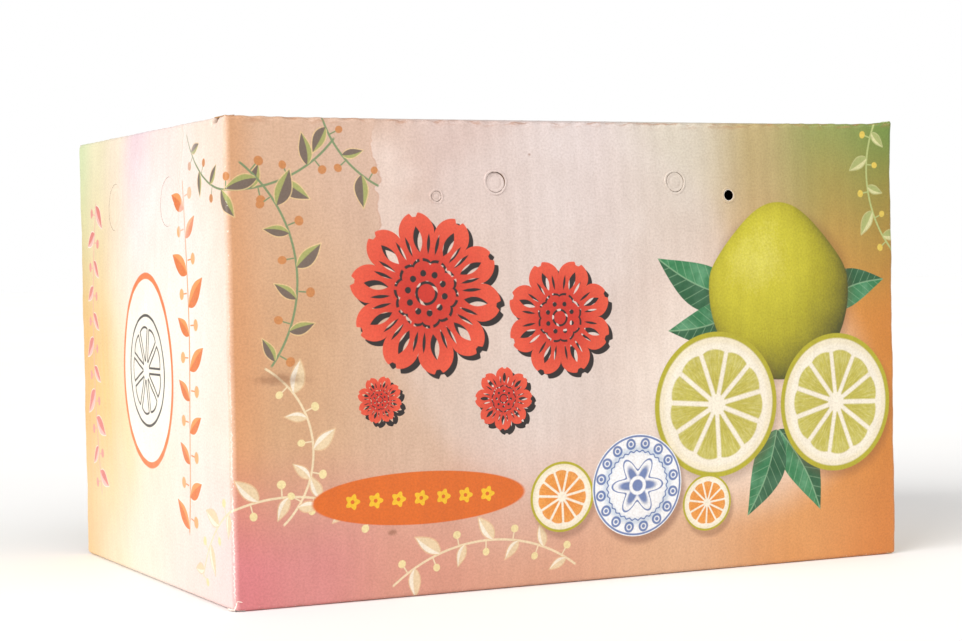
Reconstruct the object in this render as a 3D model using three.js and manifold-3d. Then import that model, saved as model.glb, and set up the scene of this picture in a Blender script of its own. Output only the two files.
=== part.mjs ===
// A printed corrugated fruit carton: four walls folded from one blank, closed above by four hinged
// flaps and below by four stapled ones. A lap tab stitched with flat wire closes the tube of walls.
// Millimetres, +Z up. The origin is the centre of the base, and the long front wall faces -Y.

import * as THREE from 'three';
import { mergeVertices } from 'three/addons/utils/BufferGeometryUtils.js';
import Module from 'manifold-3d';

const wasm = await Module();
wasm.setup();

// The carton over its outer faces
const LENGTH = 360;
const DEPTH = 238;
const HEIGHT = 221;

// The board and its folds
const BOARD = 4.8;
const FOLD_RADIUS = 4;
const MITRE_GAP = 0.3;
const CLEARANCE = 0.4;
const ARC_STEPS = 4;

// The flaps: the long ones nest between the end walls, the short ones lie one board further in
const FLAP_REACH = DEPTH / 2;
const SEAM_GAP = 0.6;
const LONG_FLAP_END_GAP = 0.8;
const SHORT_FLAP_SLOT = 12;
const END_WALL_DROP = 1;
const CORNER_NOTCH_DEPTH = 2.5;

// Knock-out vents in the long walls: an outer small pair and an inner large pair below the top fold
const SMALL_VENT_DIAMETER = 5.2;
const SMALL_VENT_OFFSET = 79;
const SMALL_VENT_DROP = 36.5;
const LARGE_VENT_DIAMETER = 10;
const LARGE_VENT_OFFSET = 48.5;
const LARGE_VENT_DROP = 30;

// Knock-out vents in the end walls
const END_VENT_DIAMETER = 24;
const END_VENT_OFFSET = 44;
const END_VENT_DROP = 36;

const VENT_GAP = 0.3;
const VENT_SEGMENTS = 32;

// The lap tab, inside the back wall at its far left corner, and its row of flat-wire stitches
const TAB_WIDTH = 36;
const TAB_END_INSET = 16;
const TAB_TAPER = 8;
const STITCH_COUNT = 5;
const STITCH_END_INSET = 34;

// Wire fasteners: the crown lies just under the outer face and the legs are turned in behind the boards
const STITCH_WIRE = { crown: 14, width: 2.2, thickness: 0.7 };
const STAPLE_WIRE = { crown: 32, width: 2.4, thickness: 0.8 };
const CROWN_SINK = 0.15;
const WIRE_GAP = 0.3;
const TIP_HALF_GAP = 1;

// Base staples in each quarter of the base: distances from the middle of the base
const STAPLE_REACHES = [95, 145];
const STAPLE_OFFSET = 30;

const QUARTER_TURN = Math.PI / 2;
const EIGHTH_TURN = Math.PI / 4;
const BOARD_STACK = 2 * BOARD + CLEARANCE;

// The ways a wire fastener points: into a wall, up through the base, and up with its crown turned across
const INWARDS = new THREE.Matrix4();
const UPWARDS = new THREE.Matrix4().makeRotationX(QUARTER_TURN);
const UPWARDS_ACROSS = new THREE.Matrix4().makeRotationZ(QUARTER_TURN).multiply(UPWARDS);

// Turns a closed geometry into a solid that can be joined and cut
function toSolid(geometry) {
  const bare = geometry.clone();
  bare.deleteAttribute('normal');
  bare.deleteAttribute('uv');
  const merged = mergeVertices(bare, 1e-4);
  const vertProperties = new Float32Array(merged.attributes.position.array);
  const triVerts = new Uint32Array(merged.index.array);
  return new wasm.Manifold(new wasm.Mesh({ numProp: 3, vertProperties, triVerts }));
}

// Turns a solid back into a geometry with flat faces
function toGeometry(solid) {
  const { vertProperties, triVerts } = solid.getMesh();
  const geometry = new THREE.BufferGeometry();
  geometry.setAttribute('position', new THREE.Float32BufferAttribute(vertProperties, 3));
  geometry.setIndex(new THREE.Uint32BufferAttribute(triVerts, 1));
  const flat = geometry.toNonIndexed();
  flat.computeVertexNormals();
  return flat;
}

// Cuts every tool from a blank
function cutAll(blank, tools) {
  let solid = toSolid(blank);
  for (const tool of tools) {
    solid = solid.subtract(toSolid(tool));
  }
  return toGeometry(solid);
}

// Extrudes an outline by a length, centred on the outline's plane
function extrude(outline, length) {
  const geometry = new THREE.ExtrudeGeometry(outline, {
    depth: length,
    bevelEnabled: false,
    curveSegments: ARC_STEPS,
  });
  return geometry.translate(0, 0, -length / 2);
}

// A block between two corners
function block(low, high) {
  const geometry = new THREE.BoxGeometry(high[0] - low[0], high[1] - low[1], high[2] - low[2]);
  return geometry.translate((low[0] + high[0]) / 2, (low[1] + high[1]) / 2, (low[2] + high[2]) / 2);
}

// Section of a board folded at both ends: outer face along y = 0, ends mitred, outer corners rounded
function foldedSection(length) {
  const end = length / 2 - MITRE_GAP;
  const bend = FOLD_RADIUS * (1 - Math.SQRT1_2);
  const section = new THREE.Shape();
  section.moveTo(-end + bend, bend);
  section.absarc(-end + FOLD_RADIUS, FOLD_RADIUS, FOLD_RADIUS, 5 * EIGHTH_TURN, 6 * EIGHTH_TURN);
  section.lineTo(end - FOLD_RADIUS, 0);
  section.absarc(end - FOLD_RADIUS, FOLD_RADIUS, FOLD_RADIUS, 6 * EIGHTH_TURN, 7 * EIGHTH_TURN);
  section.lineTo(end - BOARD, BOARD);
  section.lineTo(-end + BOARD, BOARD);
  section.closePath();
  return section;
}

// Section of an end wall, whose flaps hinge inside it: square inner edges, outer corners rounded
function ridgedSection(length) {
  const end = length / 2;
  const section = new THREE.Shape();
  section.moveTo(-end, FOLD_RADIUS);
  section.absarc(-end + FOLD_RADIUS, FOLD_RADIUS, FOLD_RADIUS, 4 * EIGHTH_TURN, 6 * EIGHTH_TURN);
  section.lineTo(end - FOLD_RADIUS, 0);
  section.absarc(end - FOLD_RADIUS, FOLD_RADIUS, FOLD_RADIUS, 6 * EIGHTH_TURN, 8 * EIGHTH_TURN);
  section.lineTo(end, BOARD);
  section.lineTo(-end, BOARD);
  section.closePath();
  return section;
}

// A wall is where its plan, drawn along the floor, meets its upright section. Its outer face is on y = 0
function wallBlank(span, uprightSection) {
  const plan = extrude(foldedSection(span), 2 * HEIGHT);
  const upright = extrude(uprightSection, 2 * span).rotateY(-QUARTER_TURN);
  const wall = toSolid(plan).intersect(toSolid(upright));
  return toGeometry(wall).translate(0, 0, HEIGHT / 2);
}

// A round hole through a wall
function ventHole(vent) {
  const radius = vent.diameter / 2;
  const hole = new THREE.CylinderGeometry(radius, radius, 4 * BOARD, VENT_SEGMENTS);
  return hole.translate(vent.x, 0, vent.z);
}

// The disc of board that still sits in a vent
function ventPlug(vent) {
  const radius = vent.diameter / 2 - VENT_GAP;
  const disc = new THREE.CylinderGeometry(radius, radius, BOARD, VENT_SEGMENTS);
  return disc.translate(vent.x, BOARD / 2, vent.z);
}

// A closed wire fastener: crown along x under the outer face, legs along +y, tips turned in past the boards
function wireFastener(wire) {
  const half = wire.crown / 2;
  const inner = half - wire.thickness;
  const outerFace = CROWN_SINK;
  const crownBack = outerFace + wire.thickness;
  const tipFront = BOARD_STACK + WIRE_GAP;
  const tipBack = tipFront + wire.thickness;
  const outline = new THREE.Shape();
  outline.moveTo(-half, outerFace);
  outline.lineTo(half, outerFace);
  outline.lineTo(half, tipBack);
  outline.lineTo(TIP_HALF_GAP, tipBack);
  outline.lineTo(TIP_HALF_GAP, tipFront);
  outline.lineTo(inner, tipFront);
  outline.lineTo(inner, crownBack);
  outline.lineTo(-inner, crownBack);
  outline.lineTo(-inner, tipFront);
  outline.lineTo(-TIP_HALF_GAP, tipFront);
  outline.lineTo(-TIP_HALF_GAP, tipBack);
  outline.lineTo(-half, tipBack);
  outline.closePath();
  return extrude(outline, wire.width);
}

// The room that a wire fastener takes in the boards: a trough for its crown and a slot for each leg
function wireRoom(wire) {
  const half = wire.crown / 2 + WIRE_GAP;
  const side = wire.width / 2 + WIRE_GAP;
  const legInner = half - wire.thickness - 2 * WIRE_GAP;
  const past = 2 * BOARD_STACK;
  return [
    block([-half, -BOARD, -side], [half, CROWN_SINK + wire.thickness + WIRE_GAP, side]),
    block([-half, -BOARD, -side], [-legInner, past, side]),
    block([legInner, -BOARD, -side], [half, past, side]),
  ];
}

// A long flap folded flat, its crease corner at the origin and its free edge towards +y
function longFlap() {
  const reach = FLAP_REACH - SEAM_GAP / 2;
  const arcStart = FOLD_RADIUS + MITRE_GAP;
  const section = new THREE.Shape();
  section.moveTo(BOARD + MITRE_GAP, -BOARD);
  section.lineTo(reach, -BOARD);
  section.lineTo(reach, 0);
  section.lineTo(arcStart, 0);
  section.absarc(arcStart, -FOLD_RADIUS, FOLD_RADIUS, 2 * EIGHTH_TURN, 3 * EIGHTH_TURN);
  section.closePath();
  const alongX = new THREE.Matrix4().makeBasis(
    new THREE.Vector3(0, 1, 0),
    new THREE.Vector3(0, 0, 1),
    new THREE.Vector3(1, 0, 0),
  );
  const length = LENGTH - 2 * (BOARD + LONG_FLAP_END_GAP);
  return extrude(section, length).applyMatrix4(alongX);
}

// A short flap folded flat, its outer face up at z = 0 and the wall's outer face on y = 0
function shortFlap() {
  const half = DEPTH / 2 - SHORT_FLAP_SLOT;
  return block([-half, BOARD + CLEARANCE, -BOARD], [half, FLAP_REACH, 0]);
}

// The lap tab as an outline in the wall's plane with tapered ends, lying behind the wall
function lapTab() {
  const low = TAB_END_INSET;
  const high = HEIGHT - TAB_END_INSET;
  const foldEdge = LENGTH / 2 - BOARD - CLEARANCE;
  const freeEdge = foldEdge - TAB_WIDTH;
  const outline = new THREE.Shape();
  outline.moveTo(freeEdge, low + TAB_TAPER);
  outline.lineTo(foldEdge, low);
  outline.lineTo(foldEdge, high);
  outline.lineTo(freeEdge, high - TAB_TAPER);
  outline.closePath();
  const middle = 1.5 * BOARD + CLEARANCE;
  return extrude(outline, BOARD).rotateX(QUARTER_TURN).translate(0, middle, 0);
}

// The colours of the printed outer paper, the bare inner paper and the copper-washed wire
const looks = {
  print: { color: 0xeccdb4, roughness: 0.45, metalness: 0 },
  kraft: { color: 0xb98d5e, roughness: 0.85, metalness: 0 },
  wire: { color: 0xb9a68a, roughness: 0.35, metalness: 0.9 },
};

// A named piece in one of the looks
function mesh(name, geometry, look) {
  const piece = new THREE.Mesh(geometry, new THREE.MeshStandardMaterial(looks[look]));
  piece.name = name;
  return piece;
}

// A side of the carton: its outer face lies on y = 0 of the group, which is turned to face outwards
function sideGroup(turn, distance) {
  const facing = new THREE.Group();
  facing.position.y = -distance;
  const side = new THREE.Group();
  side.rotation.z = turn;
  side.add(facing);
  carton.add(side);
  return facing;
}

// Copies of a fastener's room, turned as the fastener is and moved to each of its places
function roomsAt(places, wire, turn) {
  return places.flatMap((place) => wireRoom(wire).map((room) => room.applyMatrix4(turn).translate(...place)));
}

// The front or the back: its wall and vent discs, the long flaps above and below, and the base staples
function addLongSide(name, turn, vents, openVent, stitches) {
  const side = sideGroup(turn, DEPTH / 2);
  const stitchRooms = roomsAt(stitches, STITCH_WIRE, INWARDS);
  const blank = wallBlank(LENGTH, foldedSection(HEIGHT));
  side.add(mesh(`${name}_panel`, cutAll(blank, [...vents.map(ventHole), ...stitchRooms]), 'print'));
  for (const vent of vents) {
    if (vent.name !== openVent) {
      side.add(mesh(`${name}_vent_plug_${vent.name}`, ventPlug(vent), 'print'));
    }
  }

  const topFlap = mesh(`top_${name}_flap`, longFlap(), 'print');
  topFlap.position.z = HEIGHT;
  side.add(topFlap);

  const inwards = DEPTH / 2 - STAPLE_OFFSET;
  const reaches = STAPLE_REACHES.flatMap((reach) => [-reach, reach]);
  const staplePlaces = reaches.map((x) => [x, inwards, 0]);
  const bottom = longFlap().rotateY(Math.PI);
  const rooms = roomsAt(staplePlaces, STAPLE_WIRE, UPWARDS);
  side.add(mesh(`bottom_${name}_flap`, cutAll(bottom, rooms), 'print'));
  staplePlaces.forEach(([x, y, z], index) => {
    const staple = mesh(`bottom_${name}_staple_${index + 1}`, wireFastener(STAPLE_WIRE), 'wire');
    staple.rotation.x = QUARTER_TURN;
    staple.position.set(x, y, z);
    side.add(staple);
  });
  return side;
}

// An end: its wall with corner notches, its vent discs, and the short flaps above and below
function addEndSide(name, turn, vents) {
  const side = sideGroup(turn, LENGTH / 2);
  const wallHeight = HEIGHT - 2 * END_WALL_DROP;
  const corner = DEPTH / 2;
  const notches = [];
  for (const x of [-corner, corner - SHORT_FLAP_SLOT]) {
    for (const z of [END_WALL_DROP, HEIGHT - END_WALL_DROP]) {
      notches.push(block(
        [x, -BOARD, z - CORNER_NOTCH_DEPTH],
        [x + SHORT_FLAP_SLOT, 2 * BOARD, z + CORNER_NOTCH_DEPTH],
      ));
    }
  }
  const blank = wallBlank(DEPTH, ridgedSection(wallHeight));
  side.add(mesh(`${name}_panel`, cutAll(blank, [...notches, ...vents.map(ventHole)]), 'print'));
  for (const vent of vents) {
    side.add(mesh(`${name}_vent_plug_${vent.name}`, ventPlug(vent), 'print'));
  }

  const topFlap = mesh(`top_${name}_flap`, shortFlap(), 'print');
  topFlap.position.z = HEIGHT - BOARD - CLEARANCE;
  side.add(topFlap);

  const staplePlaces = [];
  for (const reach of STAPLE_REACHES) {
    for (const x of [-STAPLE_OFFSET, STAPLE_OFFSET]) {
      staplePlaces.push([x, LENGTH / 2 - reach, 0]);
    }
  }
  const rooms = roomsAt(staplePlaces, STAPLE_WIRE, UPWARDS_ACROSS);
  const bottom = shortFlap().translate(0, 0, BOARD_STACK);
  side.add(mesh(`bottom_${name}_flap`, cutAll(bottom, rooms), 'print'));
}

// Two vents side by side, in the wall's own frame
function ventPair(label, diameter, offset, drop) {
  return [
    { name: `${label}left`, x: -offset, z: HEIGHT - drop, diameter },
    { name: `${label}right`, x: offset, z: HEIGHT - drop, diameter },
  ];
}

const longVents = [
  ...ventPair('small_', SMALL_VENT_DIAMETER, SMALL_VENT_OFFSET, SMALL_VENT_DROP),
  ...ventPair('large_', LARGE_VENT_DIAMETER, LARGE_VENT_OFFSET, LARGE_VENT_DROP),
];
const endVents = ventPair('', END_VENT_DIAMETER, END_VENT_OFFSET, END_VENT_DROP);

const stitchX = LENGTH / 2 - BOARD - CLEARANCE - TAB_WIDTH / 2;
const stitchStep = (HEIGHT - 2 * STITCH_END_INSET) / (STITCH_COUNT - 1);
const stitchPlaces = [];
for (let index = 0; index < STITCH_COUNT; index += 1) {
  stitchPlaces.push([stitchX, 0, STITCH_END_INSET + index * stitchStep]);
}

const carton = new THREE.Group();
carton.name = 'fruit_carton';

addLongSide('front', 0, longVents, 'small_right', []);
addEndSide('right', QUARTER_TURN, endVents);
const backSide = addLongSide('back', 2 * QUARTER_TURN, longVents, null, stitchPlaces);
addEndSide('left', -QUARTER_TURN, endVents);

backSide.add(mesh('lap_tab', cutAll(lapTab(), roomsAt(stitchPlaces, STITCH_WIRE, INWARDS)), 'kraft'));
stitchPlaces.forEach(([x, y, z], index) => {
  const stitch = mesh(`lap_stitch_${index + 1}`, wireFastener(STITCH_WIRE), 'wire');
  stitch.position.set(x, y, z);
  backSide.add(stitch);
});

export default carton;
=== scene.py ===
"""A printed corrugated fruit carton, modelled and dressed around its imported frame.

Lengths are metres unless a name or docstring says otherwise. A wall or flap is described from its own
side of the carton: s runs to the right as seen from outside, d runs inwards from the outer face, z runs
up. The print is laid out in millimetres on the flat blank, with U along the walls and V up the walls.
"""

from __future__ import annotations

import logging
import math
from dataclasses import dataclass
from enum import Enum
from functools import partial, partialmethod, reduce
from typing import Callable, ClassVar, NamedTuple, Sequence, Union

import bpy
import numpy as np
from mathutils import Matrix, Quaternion, Vector


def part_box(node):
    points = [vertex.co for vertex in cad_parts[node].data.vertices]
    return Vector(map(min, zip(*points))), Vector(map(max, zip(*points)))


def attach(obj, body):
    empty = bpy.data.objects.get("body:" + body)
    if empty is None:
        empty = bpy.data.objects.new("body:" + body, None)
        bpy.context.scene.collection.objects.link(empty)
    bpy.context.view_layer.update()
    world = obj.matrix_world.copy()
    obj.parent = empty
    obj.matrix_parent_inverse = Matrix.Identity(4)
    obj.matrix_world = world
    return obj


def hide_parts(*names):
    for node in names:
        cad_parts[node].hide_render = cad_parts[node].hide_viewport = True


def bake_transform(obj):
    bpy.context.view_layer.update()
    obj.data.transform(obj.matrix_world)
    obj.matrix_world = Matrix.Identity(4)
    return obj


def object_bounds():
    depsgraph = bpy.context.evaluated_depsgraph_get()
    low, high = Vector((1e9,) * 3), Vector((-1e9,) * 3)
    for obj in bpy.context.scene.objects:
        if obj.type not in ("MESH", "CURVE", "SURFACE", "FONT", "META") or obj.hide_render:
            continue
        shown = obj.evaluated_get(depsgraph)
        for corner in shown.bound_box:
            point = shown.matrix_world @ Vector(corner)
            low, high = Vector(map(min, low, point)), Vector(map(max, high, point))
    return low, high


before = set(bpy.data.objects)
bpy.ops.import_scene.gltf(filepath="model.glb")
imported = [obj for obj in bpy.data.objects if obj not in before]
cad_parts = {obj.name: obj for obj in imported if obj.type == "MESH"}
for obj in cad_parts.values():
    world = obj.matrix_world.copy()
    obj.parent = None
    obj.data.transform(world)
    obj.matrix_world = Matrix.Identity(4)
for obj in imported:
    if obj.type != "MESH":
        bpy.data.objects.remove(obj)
CAD_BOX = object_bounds()

MM = 0.001
PRINT_MAP = "blank"
FULL_TURN = 2 * math.pi
SHELL = "shell"
FLOAT = "NodeSocketFloat"
COLOUR = "NodeSocketColor"
ORIGIN = (0.0, 0.0, 0.0)
UNSCALED = (1.0, 1.0, 1.0)
# Each layer of the print is tied to the one below it by this negligible shift in millimetres, so that
# the layers are worked out one after another and few values are held at one time.
LAYER_TIE = 1e-6

log = logging.getLogger("carton")

Array = np.ndarray
Piece = bpy.types.Object
Material = bpy.types.Material
Pair = tuple[float, float]
Triple = tuple[float, float, float]
Colour = tuple[float, float, float, float]
Stops = Sequence[tuple[float, str]]
Surface = Callable[[Array, Array, float], Array]
Layout = Callable[[Array, Array], Array]


def smoothstep(low: float, high: float, value: Array) -> Array:
    """A soft step of the values from 0 at low to 1 at high."""
    t = np.clip((value - low) / (high - low), 0.0, 1.0)
    return t * t * (3 - 2 * t)


def ink(code: str) -> Colour:
    """Turns a six-digit colour code into linear colour.

    Args:
        code: Red, green and blue as two hexadecimal digits each.
    Returns:
        The linear colour with full alpha.
    """
    levels = [int(code[i:i + 2], 16) / 255 for i in (0, 2, 4)]
    linear = [v / 12.92 if v <= 0.04045 else ((v + 0.055) / 1.055) ** 2.4 for v in levels]
    return (linear[0], linear[1], linear[2], 1.0)


# The carton's sizes and sides


class Side(Enum):
    """A wall of the carton, valued by the quarter turns that bring the front to it."""

    FRONT = 0
    RIGHT = 1
    BACK = 2
    LEFT = 3

    @property
    def label(self) -> str:
        """The side's word in the names of its pieces."""
        return self.name.lower()

    @property
    def is_long(self) -> bool:
        """Whether this is a long wall and not an end."""
        return self in (Side.FRONT, Side.BACK)


class Edge(Enum):
    """The edge of a wall that a flap folds from, valued by the direction away from the wall."""

    TOP = 1
    BOTTOM = -1

    @property
    def label(self) -> str:
        """The edge's word in the names of its pieces."""
        return self.name.lower()


@dataclass(frozen=True)
class Blank:
    """The carton's driving sizes and the folds of its one sheet of board."""

    length: float
    depth: float
    height: float
    board: float
    flute_pitch: float = 9 * MM
    flute_show: float = 0.045 * MM
    points_per_flute: int = 8
    corner_radius: float = 3 * MM
    crease_radius: float = 2 * MM
    ridge_radius: float = 2.5 * MM
    ridge_end: float = 5 * MM
    end_drop: float = 0.2 * MM

    @classmethod
    def from_frame(cls) -> Blank:
        """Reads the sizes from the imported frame.

        Returns:
            The blank.
        """
        low, high = CAD_BOX
        flap_low, flap_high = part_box("top_left_flap")
        size = high - low
        return cls(size.x, size.y, size.z, flap_high.z - flap_low.z)

    def half_width(self, side: Side) -> float:
        """Half of a wall's width."""
        return (self.length if side.is_long else self.depth) / 2

    def reach(self, side: Side) -> float:
        """How far a wall's outer face is from the carton's upright axis."""
        return (self.depth if side.is_long else self.length) / 2

    def place(self, side: Side, s: Array, d: Array, z: Array) -> Array:
        """Turns points given from one side into the carton's frame.

        Args:
            side: The side that the points are given from.
            s: Distance to the right of the wall's middle, as seen from outside.
            d: Distance inwards from the wall's outer face.
            z: Height above the floor.
        Returns:
            One row of x, y and z for each point.
        """
        turn = side.value * math.pi / 2
        out = np.asarray(d) - self.reach(side)
        x = s * math.cos(turn) - out * math.sin(turn)
        y = s * math.sin(turn) + out * math.cos(turn)
        return np.stack(np.broadcast_arrays(x, y, z), axis=-1)

    def outward(self, side: Side) -> Vector:
        """The direction that a wall faces."""
        turn = side.value * math.pi / 2
        return Vector((math.sin(turn), -math.cos(turn), 0.0))

    def local(self, side: Side, point: Sequence[float]) -> Triple:
        """Sees a point of the carton's frame from one side.

        Args:
            side: The side.
            point: The point's x, y and z.
        Returns:
            Its s, d and z.
        """
        turn = side.value * math.pi / 2
        s = point[0] * math.cos(turn) + point[1] * math.sin(turn)
        out = point[1] * math.cos(turn) - point[0] * math.sin(turn)
        return s, out + self.reach(side), point[2]

    def print_left(self, side: Side) -> float:
        """The print's U at a wall's left edge: each end's print comes before its long wall's."""
        return 0.0 if side.is_long else -self.depth

    def flute(self, s: Array) -> Array:
        """The rise of the flutes at s, from -1 to 1."""
        return np.cos(FULL_TURN * s / self.flute_pitch)

    def fluted_span(self, half: float) -> Array:
        """Evenly spaced points from -half to half, a few to each flute."""
        count = round(2 * half / self.flute_pitch * self.points_per_flute)
        return np.linspace(-half, half, count + 1)


@dataclass(frozen=True)
class Dent:
    """A pressed place in a wall: its middle, its reach each way and its depth, in millimetres."""

    side: Side
    s: float
    z: float
    reach_s: float
    reach_z: float
    depth: float


@dataclass(frozen=True)
class Handling:
    """The bulges, waves and knocks that packing and carrying left in the board."""

    blank: Blank
    long_bulge: float = 8.0 * MM
    end_bulge: float = 4.5 * MM
    bulge_power: float = 0.85
    swell: float = 0.25 * MM
    crease_sag: float = 1.3 * MM
    sag_depth: float = 60 * MM
    flap_sag_reach: float = 12 * MM
    wave_height: float = 0.34 * MM
    wave_reach: float = 2.6 * MM
    lump: float = 0.11 * MM
    lump_reach: float = 7 * MM
    crush: float = 0.5 * MM
    crush_reach: float = 9 * MM
    ear: float = 1.4 * MM
    ear_reach: float = 7 * MM
    dents: tuple[Dent, ...] = (
        Dent(Side.FRONT, -156, 103, 17, 3.0, 0.7),
        Dent(Side.FRONT, -100, 32, 5, 4, 0.35),
        Dent(Side.FRONT, 62, 160, 30, 22, 0.4),
        Dent(Side.RIGHT, 30, 70, 26, 9, 0.8),
        Dent(Side.BACK, -70, 120, 34, 14, 0.7),
        Dent(Side.LEFT, -60, 60, 20, 30, 0.5),
    )

    def inward(self, side: Side, s: Array, z: Array) -> Array:
        """How far a wall's surface is moved inwards at the given places.

        Args:
            side: The wall.
            s: Distance to the right of its middle.
            z: Height above the floor.
        Returns:
            The inward move, below 0 where the wall bulges out.
        """
        half_width = self.blank.half_width(side) - self.blank.corner_radius
        half_height = self.blank.height / 2
        over_s = np.clip(1 - (s / half_width) ** 2, 0, 1)
        over_z = np.clip(1 - ((z - half_height) / half_height) ** 2, 0, 1)
        bulge = self.long_bulge if side.is_long else self.end_bulge
        move = -bulge * over_s * over_z ** self.bulge_power
        broad = np.sin(s * 61 + side.value) * np.sin(z * 47 + 1.7)
        fine = np.sin(s * 113 + z * 71 + side.value)
        move = move + self.swell * (broad + 0.6 * fine) * over_s * over_z
        move = move - self.blank.flute_show * self.blank.flute(s) * np.clip(over_z * over_s * 6, 0, 1)
        for dent in self.dents:
            if dent.side is side:
                away_s, away_z = (s / MM - dent.s) / dent.reach_s, (z / MM - dent.z) / dent.reach_z
                move = move + dent.depth * MM * np.exp(-away_s ** 2 - away_z ** 2)
        return move

    def wave(self, s: Array) -> Array:
        """The uneven line of a crease that crosses the flutes."""
        slow = 0.22 * MM * np.sin(s * 103 + 1.3) + 0.16 * MM * np.sin(s * 271 + 0.4)
        return self.wave_height * self.blank.flute(s) + slow

    def sag(self, s: Array) -> Array:
        """How far a long wall's top crease has sunk between its corners."""
        return self.crease_sag * (1 - (2 * s / self.blank.length) ** 2)

    def knock(self, points: Array) -> Array:
        """Moves points near the upright folds, the crushed front left corner of the base and the front
        right corner of the top, which stands out.

        Args:
            points: Rows of x, y and z in the carton's frame.
        Returns:
            The moved points.
        """
        moved = points.copy()
        half = np.array([self.blank.length, self.blank.depth]) / 2
        signs = np.where(points[:, :2] < 0, -1.0, 1.0)
        away = np.linalg.norm(points[:, :2] - signs * half, axis=1)
        near = np.exp(-(away / self.lump_reach) ** 2)
        phase = signs[:, 0] * 1.1 + signs[:, 1] * 2.3
        z = points[:, 2]
        wobble = np.sin(z * 97 + phase) + 0.7 * np.sin(z * 231 + 2 * phase) + 0.4 * np.sin(z * 640 + phase)
        moved[:, :2] += signs * (self.lump * wobble * near)[:, None]
        corner = np.array([-half[0], -half[1], 0.0])
        close = np.exp(-(np.linalg.norm(points - corner, axis=1) / self.crush_reach) ** 2)
        rough = 1 + 0.35 * np.sin(points @ np.array([900.0, 1300.0, 1100.0]))
        moved += (self.crush * close * rough)[:, None] * np.array([0.7, 0.7, 0.1])
        corner = np.array([half[0], -half[1], self.blank.height])
        close = np.exp(-(np.linalg.norm(points - corner, axis=1) / self.ear_reach) ** 2)
        moved += (self.ear * close)[:, None] * np.array([0.30, -0.35, 1.0])
        return moved


# Mesh work


def solo(piece: Piece) -> None:
    """Selects one piece alone and makes it the active one.

    Args:
        piece: The piece.
    """
    bpy.ops.object.select_all(action="DESELECT")
    piece.select_set(True)
    bpy.context.view_layer.objects.active = piece


def add(primitive: Callable[..., set[str]], name: str, scale: Triple = UNSCALED,
        **settings: object) -> Piece:
    """Adds a primitive under a name, with its place, turn and scale in its mesh.

    Args:
        primitive: The operator that adds it.
        name: The piece's name.
        scale: Its scale along its own axes.
        **settings: The operator's settings.
    Returns:
        The piece.
    """
    bpy.ops.object.select_all(action="DESELECT")
    primitive(**settings)
    piece = bpy.context.object
    piece.name = name
    piece.data.name = name
    piece.scale = scale
    bpy.ops.object.transform_apply(location=True, rotation=True, scale=True)
    return piece


def apply_modifier(piece: Piece, kind: str, **settings: object) -> None:
    """Adds a modifier to a piece and applies it.

    Args:
        piece: The piece.
        kind: The modifier's type.
        **settings: The modifier's settings.
    """
    solo(piece)
    modifier = piece.modifiers.new(kind.lower(), kind)
    for name, value in settings.items():
        setattr(modifier, name, value)
    bpy.ops.object.modifier_apply(modifier=modifier.name)


def select_faces(piece: Piece, chosen: Callable[[bpy.types.MeshPolygon], bool]) -> None:
    """Leaves a piece in edit mode with only the chosen faces selected.

    Args:
        piece: The piece.
        chosen: Tells whether a face is chosen.
    """
    solo(piece)
    bpy.ops.object.mode_set(mode="EDIT")
    bpy.ops.mesh.select_mode(type="FACE")
    bpy.ops.mesh.select_all(action="DESELECT")
    bpy.ops.object.mode_set(mode="OBJECT")
    for face in piece.data.polygons:
        face.select = chosen(face)
    bpy.ops.object.mode_set(mode="EDIT")


def turn_outward(piece: Piece) -> None:
    """Turns every face of a piece outwards.

    Args:
        piece: The piece.
    """
    select_faces(piece, lambda face: True)
    bpy.ops.mesh.normals_make_consistent(inside=False)
    bpy.ops.object.mode_set(mode="OBJECT")


def read_points(piece: Piece) -> Array:
    """Reads a piece's vertices.

    Args:
        piece: The piece.
    Returns:
        Rows of x, y and z.
    """
    flat = np.zeros(len(piece.data.vertices) * 3, np.float32)
    piece.data.vertices.foreach_get("co", flat)
    return flat.reshape(-1, 3).astype(float)


def write_points(piece: Piece, points: Array) -> None:
    """Moves a piece's vertices to the given rows of x, y and z."""
    piece.data.vertices.foreach_set("co", points.astype(np.float32).ravel())
    piece.data.update()


def write_print_map(piece: Piece, places: Array) -> None:
    """Gives a piece its map onto the flat blank.

    Args:
        piece: The piece.
        places: The U and V of each vertex, in metres.
    """
    layers = piece.data.uv_layers
    layer = layers[0] if len(layers) else layers.new()
    layer.name = PRINT_MAP
    corners = np.zeros(len(piece.data.loops), np.int32)
    piece.data.loops.foreach_get("vertex_index", corners)
    layer.data.foreach_set("uv", places[corners].astype(np.float32).ravel())


def smooth_faces(piece: Piece, degrees: float = 38) -> None:
    """Shades a piece smooth, apart from edges sharper than the angle."""
    solo(piece)
    bpy.ops.object.shade_smooth_by_angle(angle=math.radians(degrees))


def dress(piece: Piece, *materials: Material) -> None:
    """Fills a piece's material slots in order, keeping which face has which slot.

    Args:
        piece: The piece.
        *materials: The material of each slot.
    """
    slots = piece.data.materials
    while len(slots) < len(materials):
        slots.append(None)
    while len(slots) > len(materials):
        slots.pop()
    for index, material in enumerate(materials):
        slots[index] = material


def settle(piece: Piece, body: str, nodes: Sequence[str] = ()) -> None:
    """Fixes a finished piece to its body and says which nodes it stands for.

    Args:
        piece: The piece, in place.
        body: The body that it moves with.
        nodes: The frame's nodes that it replaces.
    """
    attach(piece, body)
    if nodes:
        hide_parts(*nodes)
    log.info("%s rides on %s, for %s", piece.name, body, ", ".join(nodes) or "no node")


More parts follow.
